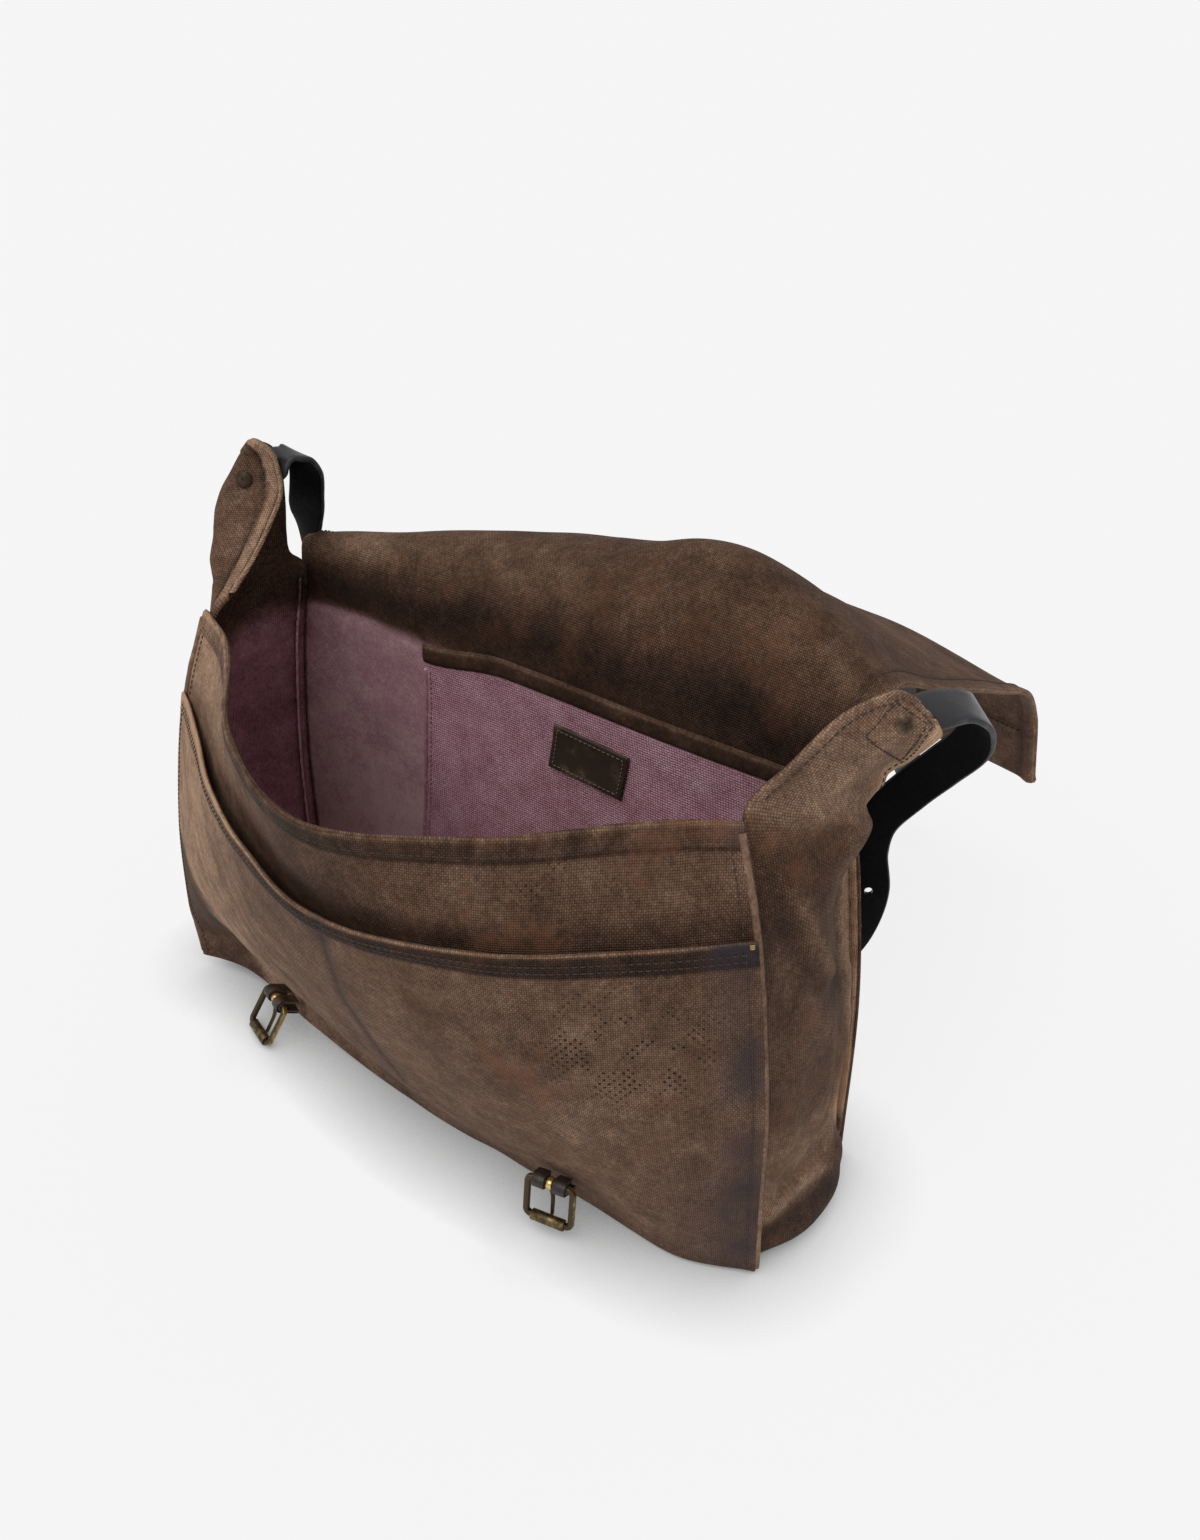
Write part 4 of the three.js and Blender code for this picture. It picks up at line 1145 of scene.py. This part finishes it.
def binding_paint(u, v, mid):
    # Painted highlight along the top of the rolled binding and painted shade along its lower edge.
    tone = -0.14 + 0.2 * bell(v, 0.92, 0.1) - 0.1 * bell(v, 0.1, 0.08)
    return dict(tone=(tone, -0.1), warm=(0.1, 0.1))


tape = cloth_mesh("inner_pocket_tape", binding, INNER_US, steps(0, 1, 12), binding_wall, 1, [TAPE] * 3,
                  binding_paint)
attach(tape, "bag", "binding_tape", "inner_pocket_binding")
patch = cloth_mesh("bare_patch", label, steps(0, 1, 40), steps(0, 1, 26), even(LABEL["wall"]), 1,
                   [PATCH] * 3, lambda u, v, mid: dict(tone=(0, 0)))
attach(patch, "bag", "patch_leather", "label_patch")

# Shoulder strap
TUCK = GAP + 1.2
RIGHT_SLACK = 2.5  # the right tongue curls, so the strap's end lies deeper in it
# Points of the strap's middle line, each followed by the direction of its width.
STRAP_RUN = [
    (-171, 44, 322, 0.85, -0.5, 0),
    (-170, 51, 319, 0.95, -0.2, 0.1),
    (-171, 56, 309, 0.96, 0.1, 0.15),
    (-178, 61, 290, 0.97, 0.1, 0.2),
    (-188, 68, 273, 0.97, 0, 0.2),
    (-197, 75, 252, 0.9, -0.4, 0),
    (-197, 77, 215, 0.75, -0.65, 0),
    (-198, 84, 155, 0.5, -0.87, 0),
    (-196, 89, 85, 0.15, -1, 0),
    (-190, 90, 36, 0, -1, 0),
    (-171, 90, 9, 0, -1, 0),
    (-140, 90, 2.6, 0, -1, 0),
    (-112, 90, 1.7, 0, -1, 0),
    (-60, 90, 1.7, 0, -1, 0),
    (20, 90, 1.7, 0, -1, 0),
    (60, 90, 1.7, 0, -1, 0),
    (88, 90, 2.6, 0, -1, 0),
    (120, 90, 9, 0, -1, 0),
    (144, 88, 36, -0.2, -1, 0.1),
    (160, 85, 80, -0.5, -0.85, 0.1),
    (176, 84, 122, -0.7, -0.65, 0.1),
    (180, 86, 151, -0.8, -0.5, 0),
    (175, 90, 171, -0.8, -0.4, 0.2),
    (176, 95, 188, -0.78, -0.2, 0.5),
    (189, 102, 209, -0.75, 0, 0.65),
    (203, 103, 228, -0.75, 0.02, 0.66),
    (217, 98, 249, -0.82, 0.06, 0.56),
    (223, 90, 268, -0.79, 0.4, 0.47),
    (224, 77, 281, -0.8, 0.47, 0.37),
    (219, 64, 288, -0.89, 0.38, 0.25),
]
LEFT_TUCK = [(1.3, 0.18), (0.95, 0.13), (0.6, 0.04)]
RIGHT_TUCK = [(LAST - 0.05, 0.4), (LAST - 1.7, 0.44)]
STRAP_END = 0.62  # share of the width at its ends
LEFT_TAPER = 0.1
RIGHT_TAPER = 0.05
STRAP_ROUND = 0.9
PUNCHED = dict(shares=[0.657, 0.682, 0.706], radius=2.2)
RIBBON_FACE = np.linspace(-1, 1, 9)
RIBBON_TURN = np.linspace(np.pi / 2, -np.pi / 2, 6)[1:-1]


def out_at(q, t, side):
    n = normal_of(strip, q, t)
    return n if n @ (LEFT_OUT if side < 0 else RIGHT_OUT) > 0 else -n


def sink(side):
    """How deep the strap's middle lies under the middle of the tongue's cloth."""
    return CANVAS / 2 + TUCK + STRAP_THICK / 2 + (0 if side < 0 else RIGHT_SLACK)


def tucked_run(rows, side):
    return [
        (strip(q, t) - out_at(q, t, side) * sink(side), unit(strip(q, t + 0.002) - strip(q, t - 0.002)))
        for q, t in rows
    ]


def strap_rows():
    """Points and width directions with both tucked ends, whose widths are turned to suit the rest."""
    run = [(vec(*row[:3]), unit(vec(*row[3:]))) for row in STRAP_RUN]
    points, wide = map(np.array, zip(*tucked_run(LEFT_TUCK, -1), *run, *tucked_run(RIGHT_TUCK, 1)))
    left = [(i, i + 1) for i in reversed(range(len(LEFT_TUCK)))]
    right = [(i, i - 1) for i in range(len(points) - len(RIGHT_TUCK), len(points))]
    for i, beside in left + right:
        if wide[i] @ wide[beside] < 0:
            wide[i] = -wide[i]
    return points, wide


def centripetal(points, s):
    """Point at share s of a centripetal curve through points, each stretch taking an equal share."""
    n = len(points)
    at = np.clip(s, 0, 1) * (n - 1)
    k = int(min(math.floor(at), n - 2))
    w = at - k
    p1, p2 = points[k], points[k + 1]
    p0 = points[k - 1] if k > 0 else 2 * p1 - p2
    p3 = points[k + 2] if k + 2 < n else 2 * p2 - p1
    d0, d1, d2 = (max(math.sqrt(np.linalg.norm(b - a)), 1e-4) for a, b in ((p0, p1), (p1, p2), (p2, p3)))
    t1 = ((p1 - p0) / d0 - (p2 - p0) / (d0 + d1) + (p2 - p1) / d1) * d1
    t2 = ((p2 - p1) / d1 - (p3 - p1) / (d1 + d2) + (p3 - p2) / d2) * d1
    a = 2 * p1 - 2 * p2 + t1 + t2
    b = -3 * p1 + 3 * p2 - 2 * t1 - t2
    return ((a * w + b) * w + t1) * w + p1


STRAP_POINTS, STRAP_WIDE = strap_rows()
STRAP_KNOTS = np.linspace(0, 1, len(STRAP_POINTS))


def strap_frame(s):
    at = centripetal(STRAP_POINTS, s)
    along = unit(centripetal(STRAP_POINTS, s + 1e-4) - centripetal(STRAP_POINTS, s - 1e-4))
    hint = vec(*[smooth(STRAP_KNOTS, STRAP_WIDE[:, k], s) for k in range(3)])
    wide = unit(hint - along * (hint @ along))
    narrow = STRAP_END + (1 - STRAP_END) * float(min(ramp(0, LEFT_TAPER, s), ramp(0, RIGHT_TAPER, 1 - s)))
    return at, wide, np.cross(wide, along), narrow


def ribbon(name, frames, wide, thick, edge, materials):
    """A strap with rounded edges. A frame is a point, its width and face directions and a width share."""
    lift = np.concatenate([np.ones(len(RIBBON_FACE)), np.sin(RIBBON_TURN)]) * thick / 2
    rings = []
    for at, side, face, narrow in frames:
        flat = wide * narrow / 2 - edge
        reach = np.concatenate([flat * RIBBON_FACE, flat + edge * np.cos(RIBBON_TURN)])
        arms = reach[:, None] * side + lift[:, None] * face
        rings.append(np.concatenate([at + arms, at - arms]))
    span = len(RIBBON_FACE) - 1
    kinds = np.full(2 * len(lift), 2)
    kinds[:span] = 0
    kinds[len(lift):len(lift) + span] = 1
    kinds = np.concatenate([np.tile(kinds, len(rings) - 1), [2, 2]])
    faces = flipped(ring_faces(len(rings), 2 * len(lift)))
    return mesh_object(name, np.concatenate(rings), faces, materials, kinds)


def punch(obj, posts, radius):
    """Cuts round holes through a piece, each given by a point and an axis."""
    cutters = []
    for k, (at, axis) in enumerate(posts):
        bpy.ops.mesh.primitive_cylinder_add(
            vertices=20, radius=radius * MM, depth=14 * MM, location=at * MM,
        )
        cutter = bpy.context.object
        cutter.rotation_euler = Vector(axis).to_track_quat("Z", "Y").to_euler()
        cutters.append(cutter)
        hole = obj.modifiers.new(f"hole_{k}", "BOOLEAN")
        hole.operation = "DIFFERENCE"
        hole.object = cutter
        hole.solver = "EXACT"
    bpy.context.view_layer.update()
    cut = bpy.data.meshes.new_from_object(obj.evaluated_get(bpy.context.evaluated_depsgraph_get()))
    obj.modifiers.clear()
    obj.data = cut
    for cutter in cutters:
        bpy.data.objects.remove(cutter, do_unlink=True)


strap = ribbon("strap", [strap_frame(s) for s in steps(0, 1, 420)], STRAP_WIDTH, STRAP_THICK, STRAP_ROUND,
               [STRAP_FACE, STRAP_FLESH, STRAP_EDGE])
punched = [strap_frame(share) for share in PUNCHED["shares"]]
punch(strap, [(at, face) for at, _, face, _ in punched], PUNCHED["radius"])
attach(strap, "bag", "strap_leather", "shoulder_strap")

# Rivets
RIVET = dict(cap=4.6, cap_tall=1.4, cap_rim=0.3, shank=1.5, washer=3.6, washer_tall=0.9)
RIVET_CAP_AT = CANVAS / 2 + 0.4
RIVET_SIDES = 40


def turns(sides):
    return np.arange(sides) * 2 * np.pi / sides


def revolve(name, outline, origin, axis, sides, material, rub):
    """A turned piece about axis. rub says how bright each outline point is."""
    axis = unit(axis)
    side = unit(np.cross(axis, vec(0.3, 0.2, 0.9)))
    up = np.cross(axis, side)
    verts = [
        origin + axis * z + (side * math.cos(a) + up * math.sin(a)) * r
        for a in turns(sides) for r, z in outline
    ]
    faces = flipped(ring_faces(sides, len(outline), looped=True))
    obj = mesh_object(name, verts, faces, [material])
    set_points(obj, "rub", np.tile(rub, sides))
    return obj


def rivet(name, q, t, side, washer_gap, worn):
    cap = RIVET_CAP_AT
    rim = RIVET["cap_rim"]
    washer = -(sink(side) + STRAP_THICK / 2 + washer_gap)
    foot = washer - RIVET["washer_tall"]
    dome = [(RIVET["cap"] * math.cos(a), cap + rim + (RIVET["cap_tall"] - rim) * math.sin(a))
            for a in np.linspace(0, 1.52, 9)]
    under = [
        (0.05, foot), (RIVET["washer"], foot), (RIVET["washer"], washer), (RIVET["shank"], washer),
        (RIVET["shank"], cap), (RIVET["cap"], cap),
    ]
    rub = [0.2] * len(under) + list(np.linspace(worn, 0.3, len(dome)))
    obj = revolve(name, under + dome, strip(q, t), out_at(q, t, side), RIVET_SIDES, RIVET_BRASS, rub)
    return attach(obj, "bag", "rivet_brass", name.replace("_cap", ""))


rivet("left_rivet_cap", 0.85, 0.18, -1, washer_gap=0.8, worn=0.3)
rivet("right_rivet_cap", LAST - 1.15, 0.45, 1, washer_gap=3.4, worn=0.6)

# Buckles
BUCKLES = [
    dict(side="left", bar=[-123.4, -61.4, 23.9], turn=-0.375, hang=0.995, dip=0.5, over=9.4, under=11.6),
    dict(side="right", bar=[99, -84.2, 33], turn=0.166, hang=1.42, dip=0.5, over=4.5, under=12.2),
]
FRAME = dict(wide=26.0, long=24.5, wire=1.7, corner=3.0)
ROLLER = dict(half=9.6, bore=1.78, out=3.1, bevel=0.35)
PRONG = dict(bore=1.78, out=3.2, half=1.7, bevel=0.4, thick=1.25, past=-0.4, taper=0.25)
TAB = dict(wide=19.0, wall=LEATHER, bore=1.78, fit=0.02, slot=5.0, leaf_from=0.6, leaf_round=0.4)
TAB_BEVEL = dict(wide=0.5, deep=0.25)
PRONG_REST = ROLLER["out"] + PRONG["thick"] + 0.15  # height at which it lies on the roller


def sweep(points, radius, sides, ringed, flat=1.0):
    """Verts, faces and rub of a bar swept through points; flat squares its section off."""
    points = np.asarray(points, float)
    n = len(points)
    if ringed:
        along = unit(np.roll(points, -1, axis=0) - np.roll(points, 1, axis=0))
    else:
        along = unit(np.gradient(points, axis=0))
    across = np.cross(along, vec(0, 0, 1))
    weak = np.linalg.norm(across, axis=1) < 0.1
    across[weak] = vec(1, 0, 0)
    across = unit(across)
    up = np.cross(across, along)
    cos, sin = np.cos(turns(sides)), np.sin(turns(sides))
    c = np.sign(cos) * np.abs(cos) ** flat
    d = np.sign(sin) * np.abs(sin) ** flat
    arms = c[:, None] * across[:, None] + d[:, None] * up[:, None]
    rings = points[:, None] + np.broadcast_to(radius, (n,))[:, None, None] * arms
    rub = np.tile(np.clip(d, 0, 1) * 0.5 + np.clip(c, 0, 1) * 0.45, n)
    return rings.reshape(-1, 3), ring_faces(n, sides, ringed), rub


def frame_loop(detail, spacing=2):
    """Points round the wire frame, with its bar on local X."""
    c = FRAME["corner"]
    side, far = FRAME["wide"] / 2 - c, FRAME["long"] - c
    points = []
    for k, (x, y) in enumerate([(-side, c), (side, c), (side, far), (-side, far)]):
        angles = np.linspace(0, np.pi / 2, detail) + (k + 2) * np.pi / 2
        points += [vec(x + c * math.cos(a), y + c * math.sin(a), 0) for a in angles]
    dense = []
    for a, b in zip(points, points[1:] + points[:1]):
        count = max(1, int(math.dist(a, b) // spacing))
        dense += [a + (b - a) * k / count for k in range(count)]
    return dense


def tube_x(inner, outer, half, sides, bevel):
    """Verts, faces and rub of a sleeve along local X with bevelled ends."""
    outline = [(inner, -half), (outer - bevel, -half), (outer, -half + bevel), (outer, half - bevel),
               (outer - bevel, half), (inner, half)]
    verts = [(x, r * math.cos(a), r * math.sin(a)) for a in turns(sides) for r, x in outline]
    rub = [0.35 + 0.5 * max(0, math.sin(a)) for a in turns(sides) for _ in outline]
    return np.array(verts), ring_faces(sides, len(outline), looped=True), rub


def placed(name, verts, faces, rub, origin, axes, material):
    obj = mesh_object(name, origin + np.asarray(verts) @ np.asarray(axes), faces, [material])
    set_points(obj, "rub", rub)
    return obj


def prong_shape():
    """The finger with its eye round the bar."""
    long = FRAME["long"]
    heights = [0.7, PRONG_REST * 0.45, PRONG_REST * 0.9, PRONG_REST, PRONG_REST]
    reaches = [2.6, 6, 12, long - 3, long + PRONG["past"]]
    shares = np.linspace(0, 1, 24)
    knots = np.linspace(0, 1, len(reaches))
    path = np.stack([0 * shares, smooth(knots, reaches, shares), smooth(knots, heights, shares)], -1)
    verts, faces, rub = sweep(path, PRONG["thick"] * (1 - PRONG["taper"] * shares), 14, False, 0.8)
    eye, eye_faces, _ = tube_x(PRONG["bore"], PRONG["out"], PRONG["half"], 36, PRONG["bevel"])
    faces = faces + [[i + len(verts) for i in face] for face in eye_faces]
    return np.concatenate([verts, eye]), faces, np.concatenate([rub * 0.7, np.full(len(eye), 0.95)])


def tab_outline(b, detail=10):
    """The folded leather's section: over leaf, roll round the bar, under leaf."""
    inner, outer = TAB["bore"] + TAB["fit"], TAB["bore"] + TAB["wall"]
    start, tip = TAB["leaf_from"], TAB["leaf_round"]
    roll = np.linspace(np.pi / 2, 1.5 * np.pi, detail)
    points = [(x, outer) for x in np.linspace(b["over"], start, 5)]
    points += [(outer * math.cos(a), outer * math.sin(a)) for a in roll]
    points += [(x, -outer) for x in np.linspace(start, b["under"], 6)]
    points += [(b["under"] + tip, -(outer + inner) / 2)]
    points += [(x, -inner) for x in np.linspace(b["under"], start, 6)]
    points += [(inner * math.cos(a), inner * math.sin(a)) for a in roll[::-1]]
    points += [(x, inner) for x in np.linspace(start, b["over"], 5)]
    points += [(b["over"] + tip, (outer + inner) / 2)]
    return np.array(points)


def side_cap(base, n, reverse):
    """Quads that close the side of a folded section: each outer point faces its inner one."""
    quads = [[base + i, base + i + 1, base + n - 3 - i, base + n - 2 - i] for i in range((n - 2) // 2 - 1)]
    return [quad[::-1] if reverse else quad for quad in quads]


def tab_mesh(b):
    """Two straps of the folded leather, one on each side of the prong's slot."""
    outline = tab_outline(b)
    n = len(outline)
    x, y = outline.T
    rolled = x < TAB["leaf_from"]
    radius = np.where(rolled, np.hypot(x, y), np.abs(y))
    away = np.where(rolled[:, None], outline / radius[:, None], np.stack([0 * y, np.sign(y)], -1))
    half_wall = TAB["wall"] / 2
    pull = TAB_BEVEL["deep"] * (TAB["bore"] + half_wall - radius) / half_wall
    slim = outline + pull[:, None] * away
    half, slot = TAB["wide"] / 2, TAB["slot"] / 2
    verts, faces = [], []
    for low, high in ((-half, -slot), (slot, half)):
        base = len(verts) * n
        marks = [low, low + TAB_BEVEL["wide"], high - TAB_BEVEL["wide"], high]
        for z, section in zip(marks, (slim, outline, outline, slim)):
            verts.append(np.column_stack([section, np.full(n, z)]))
        faces += [[base + i for i in face] for face in ring_faces(len(marks), n)[:-2]]
        faces += side_cap(base, n, False) + side_cap(base + (len(marks) - 1) * n, n, True)
    return np.concatenate(verts), faces


def buckle_piece(name, shape, origin, axes, body, node):
    attach(placed(name, *shape, origin, axes, BUCKLE_BRASS), body, "buckle_brass", node)


for b in BUCKLES:
    side = b["side"]
    bar = vec(*b["bar"])
    x_axis = vec(math.cos(b["turn"]), math.sin(b["turn"]), 0)
    ahead = vec(math.sin(b["turn"]), -math.cos(b["turn"]), 0)
    y_axis = ahead * math.cos(b["hang"]) + vec(0, 0, -math.sin(b["hang"]))
    axes = [x_axis, y_axis, np.cross(x_axis, y_axis)]
    far = bar + y_axis * FRAME["long"]
    sleeve = tube_x(ROLLER["bore"], ROLLER["out"], ROLLER["half"], 40, ROLLER["bevel"])
    wire = sweep(frame_loop(8), FRAME["wire"], 20, True, 0.7)
    buckle_piece(f"{side}_frame", wire, bar, axes, f"{side}_buckle", f"{side}_buckle_frame")
    buckle_piece(f"{side}_roller_sleeve", sleeve, far, axes, f"{side}_roller", f"{side}_buckle_roller")
    buckle_piece(f"{side}_prong_finger", prong_shape(), bar, axes, f"{side}_prong", f"{side}_buckle_prong")

    rise, run = math.sin(b["dip"]), math.cos(b["dip"])
    inward = -ahead * run + vec(0, 0, -rise)
    over = -ahead * rise + vec(0, 0, run)
    verts, faces = tab_mesh(b)
    verts = bar + verts @ np.array([inward, over, np.cross(inward, over)])
    tab = mesh_object(f"{side}_tab_fold", verts, faces, [TAB_LEATHER])
    attach(tab, "bag", "tab_leather", f"{side}_buckle_tab")

# Flap straps
FLAP_STRAP = dict(wide=20.0, start=535.0, past=62.0, lift=0.8, round=0.7, tip_from=0.8, tip=9.6)


def flap_strap(name, across, node):
    off = CANVAS + GAP + LEATHER / 2 + FLAP_STRAP["lift"]
    frames = []
    for run in steps(FLAP_STRAP["start"], FLAP_END - 1, 24):
        n = normal_of(back, across, run, BACK_STEP)
        if n[2] > 0 or n[1] > 0.2:
            n = -n
        along = unit(back(across, run + 0.5) - back(across, run - 0.5))
        frames.append((back(across, run) + n * off, unit(np.cross(along, n)), n, 1.0))
    at, wide, n, _ = frames[-1]
    for s in steps(0, 1, 16)[1:]:
        narrow = 1 - FLAP_STRAP["tip"] * max(0, s - FLAP_STRAP["tip_from"]) ** 2
        frames.append((at + along * FLAP_STRAP["past"] * s, wide, n, narrow))
    obj = ribbon(name, frames, FLAP_STRAP["wide"], LEATHER, FLAP_STRAP["round"], [TAB_LEATHER] * 3)
    attach(obj, "bag", "tab_leather", node)


flap_strap("left_closing_strap", -0.56, "left_flap_strap")
flap_strap("right_closing_strap", 0.52, "right_flap_strap")

# Stitching of the front
FACE = CANVAS / 2
SEAM_INSET = 5.2  # stitches of a side seam from the cloth's edge
SIDES = (-1, 1)


def sew(name, lines, thread=DARK_THREAD, slot="waxed_canvas", **size):
    attach(stitches(name, lines, thread, **size), "bag", slot)


def front_line(surface, us, ups, off):
    return seam_line(surface, us, ups, off, FRONT_OUT)


def side_lines(surface, ups):
    return [front_line(surface, side * (1 - SEAM_INSET / half_at(side, ups)), ups, FACE) for side in SIDES]


mouth_us = np.linspace(-0.985, 0.985, 300)
side_ups = np.linspace(0.02, 0.985, 220)
hem_line = front_line(front_cloth, mouth_us, 1 - HEM_STITCH / UP_MM, FACE + 0.2)
sew("front_stitching", [hem_line, *side_lines(front_cloth, side_ups[side_ups > POCKET_TOP])])
pocket_lines = [
    front_line(pocket_cloth, mouth_us * 0.99, POCKET_TOP - down / UP_MM, FACE + lift)
    for down, lift in zip(POCKET_STITCHES, (0.05, 0.25))
]
pocket_lines += side_lines(pocket_cloth, side_ups[side_ups < POCKET_TOP - 0.01])
sew("pocket_stitching", pocket_lines)


# Seam edges: the layers of the front seams end in one worn ridge.
def piping(name, points, radius, tone, material=OUTER, mauve=0.0):
    """The rounded edge of a seam, along points."""
    verts, faces, _ = sweep(points, radius, 10, False)
    obj = mesh_object(name, verts, faces, [material])
    set_points(obj, "tone", tone)
    set_points(obj, "mauve", mauve)
    return attach(obj, "bag", "waxed_canvas")


edge_ups = np.linspace(0.015, 0.985, 240)
for name, side in (("left_front_seam", -1), ("right_front_seam", 1)):
    across = np.full(edge_ups.shape, 0.997 * side)
    layers = FACE + 0.6 * ramp(POCKET_TOP + 0.01, POCKET_TOP - 0.01, edge_ups)
    points = front_cloth(across, edge_ups) + out_of_front(front, across, edge_ups) * layers[:, None]
    piping(name, points, 1.8 + 0.15 * noise(edge_ups * UP_MM, 0 * edge_ups, 6, 71), 0.3)

rise = np.linspace(0.01, 0.97, 120)
piping("inner_pocket_side", inner_pocket(0, rise) + vec(0, -0.4, 0), 1.25, 0.2, INNER, 0.9)

base_qs = np.linspace(10.6, 17.4, 240)
for name, t, toward in (("front_base_seam", 0.0, -0.5), ("back_base_seam", 1.0, 0.6)):
    piping(name, strip(base_qs, t) + vec(0, toward, 1.3), 1.6, 0.0, INNER, 0.8)

CORNER_SEAM = dict(near=1.4, wide=5.0, fray=0.7, foot=0.97, wall=1.3)


def corner_seam(side, name, low, high):
    """Seam allowance that stands into the bag along a back corner, with a frayed edge."""
    into = unit(vec(-side * 0.55, -0.83, 0))

    def surface(s, q):
        fray = CORNER_SEAM["fray"] * noise(q * STATION_LONG, 0 * q, 1.7, 61) * s
        reach = CORNER_SEAM["near"] + CORNER_SEAM["wide"] * s + fray
        return strip(q, CORNER_SEAM["foot"]) + reach[..., None] * into

    def paint(s, q, mid):
        mauve = ramp(232, 222, mid[..., 2])
        tone = -0.12 + 0.2 * mauve + 0.3 * ramp(0.55, 1, s)
        return dict(tone=(tone, tone), warm=(0.3, 0.3), mauve=(mauve, mauve))

    obj = cloth_mesh(name, surface, steps(0, 1, 6), steps(low, high, 160), even(CORNER_SEAM["wall"]), 1,
                     [INNER] * 3, paint)
    attach(obj, "bag", "waxed_canvas")


corner_seam(-1, "left_corner_seam", 5.1, 9.3)
corner_seam(1, "right_corner_seam", 18.8, 22.8)


# Stitching of the tongues, the flap, the inner pocket and the patch
def inset_t(qs, distance):
    """Share across the strip at a distance from its front edge, or from its back edge if negative."""
    ts = np.linspace(0, 1, 80)
    runs = arc_lengths(strip_cloth(qs[:, None], ts[None, :]), 1)
    return np.array([np.interp(distance if distance > 0 else run[-1] + distance, run, ts) for run in runs])


def strip_line(qs, ts, off):
    return seam_line(strip_cloth, qs, ts, off, STRIP_OUT)


def path_through(corners, count=60):
    marks = np.linspace(0, len(corners) - 1, count)
    knots = np.arange(len(corners))
    return [np.interp(marks, knots, [corner[k] for corner in corners]) for k in (0, 1)]


TONGUE_BOX = [(25.95, 0.28), (27.2, 0.14), (27.5, 0.7), (25.8, 0.9), (25.95, 0.28)]
TONGUE_TIP = [(LAST - 0.32, 0.2), (LAST - 0.32, 0.8)]
PATCH_BORDER = [(0.05, 0.08), (0.95, 0.08), (0.95, 0.92), (0.05, 0.92), (0.05, 0.08)]
left_qs = np.linspace(0.35, 4.6, 90)
right_qs = np.linspace(24.2, LAST - 0.35, 80)
sew("tongue_stitching", [
    strip_line(left_qs, inset_t(left_qs, ROLLED + 1.0), FACE + 0.05),
    *[strip_line(right_qs, inset_t(right_qs, inset), FACE + 0.3) for inset in (4.0, -4.0)],
    strip_line(*path_through(TONGUE_TIP), FACE + 0.3),
    strip_line(*path_through(TONGUE_BOX), FACE + 0.2),
])


def flap_line(us, runs, off, out):
    return seam_line(back_cloth, us, runs, off, out, BACK_STEP)


HEM_FACE = FACE + 0.7
hem_runs = np.linspace(RIM_RUN + 22, FLAP_END - 4, 160)
hem_us = 1 - 7.6 / back_half(hem_runs)
end_us = np.linspace(-0.97, 0.97, 200)
back_runs = np.linspace(8, RIM_RUN - 4, 120)
back_us = 1 - SEAM_INSET / back_half(back_runs)
flap_lines = []
for out in SIDES:
    flap_lines += [flap_line(side * hem_us, hem_runs, HEM_FACE + 0.15, out) for side in SIDES]
    flap_lines.append(flap_line(end_us, FLAP_END - FLAP_HEM + 2.0, HEM_FACE, out))
flap_lines += [flap_line(side * back_us, back_runs, FACE, -BACK_IN) for side in SIDES]
sew("flap_stitching", flap_lines)

inner_us = np.linspace(0.01, 0.99, 160)
sew("inner_pocket_stitching", [
    seam_line(inner_pocket, 0.014, rise, INNER_WALL / 2, POCKET_OUT),
    seam_line(inner_pocket, inner_us, 0.02, INNER_WALL / 2, POCKET_OUT),
], MAUVE_THREAD, "inner_cloth")
border = seam_line(label, *path_through(PATCH_BORDER, 120), LABEL["wall"] / 2, POCKET_OUT)
sew("patch_stitching", [border], WORN_THREAD, "patch_leather", length=2.2, gap=0.8, radius=0.3)

tack_us = np.linspace(0.977, 0.992, 8)
sew("pocket_bartack", [
    front_line(pocket_cloth, tack_us, POCKET_TOP - down / UP_MM, FACE + 0.3) for down in (0.6, 1.4, 2.2)
], GOLD_THREAD, length=2.2, gap=0.4, radius=0.36)

# Stage, light and camera
CAMERA = dict(at=vec(409.66, -479.19, 628.37), target=vec(56, 20.3, 214), lens=34.21, sensor=36)
# The floor's even glow, and how far its painted contact shadow reaches.
FLOOR = dict(half=20000.0, z=-0.3, contact=0.05, glow=0.84)
SKY = 0.55
SUN = dict(energy=1.5, spread=50, toward=(0.08, 0.55, -1))


def aim(obj, toward):
    obj.rotation_euler = Vector(toward).to_track_quat("-Z", "Y").to_euler()


def stage():
    scene = bpy.context.scene
    s = Shader("floor")
    # The floor glows evenly, and its contact shadow is painted from ambient occlusion, which dims the glow
    # near the bag.
    near = s.node("AmbientOcclusion", {"Distance": FLOOR["contact"]}, samples=6).outputs["AO"]
    lit = s.math("MULTIPLY", s.math("POWER", near, 0.9), FLOOR["glow"])
    s.set(Base_Color=(0.08, 0.08, 0.08, 1), Roughness=0.9, Specular_IOR_Level=0.0)
    s.set(Emission_Color=(1, 1, 1, 1), Emission_Strength=lit)
    half, z = FLOOR["half"], FLOOR["z"]
    corners = [(-half, -half, z), (half, -half, z), (half, half, z), (-half, half, z)]
    mesh_object("floor", corners, [[0, 1, 2, 3]], [s.material])
    world = bpy.data.worlds.new("studio")
    world.use_nodes = True
    sky = world.node_tree.nodes["Background"]
    sky.inputs["Color"].default_value = (1, 1, 1, 1)
    sky.inputs["Strength"].default_value = SKY
    scene.world = world
    sun = bpy.data.lights.new("key", "SUN")
    sun.energy = SUN["energy"]
    sun.angle = math.radians(SUN["spread"])
    aim(link("key", sun), SUN["toward"])
    camera = bpy.data.cameras.new("camera")
    camera.lens = CAMERA["lens"]
    camera.sensor_width = CAMERA["sensor"]
    camera.clip_start = 0.01
    holder = link("camera", camera)
    holder.location = CAMERA["at"] * MM
    aim(holder, CAMERA["target"] - CAMERA["at"])
    scene.camera = holder
    scene.view_settings.view_transform = "Standard"


stage()
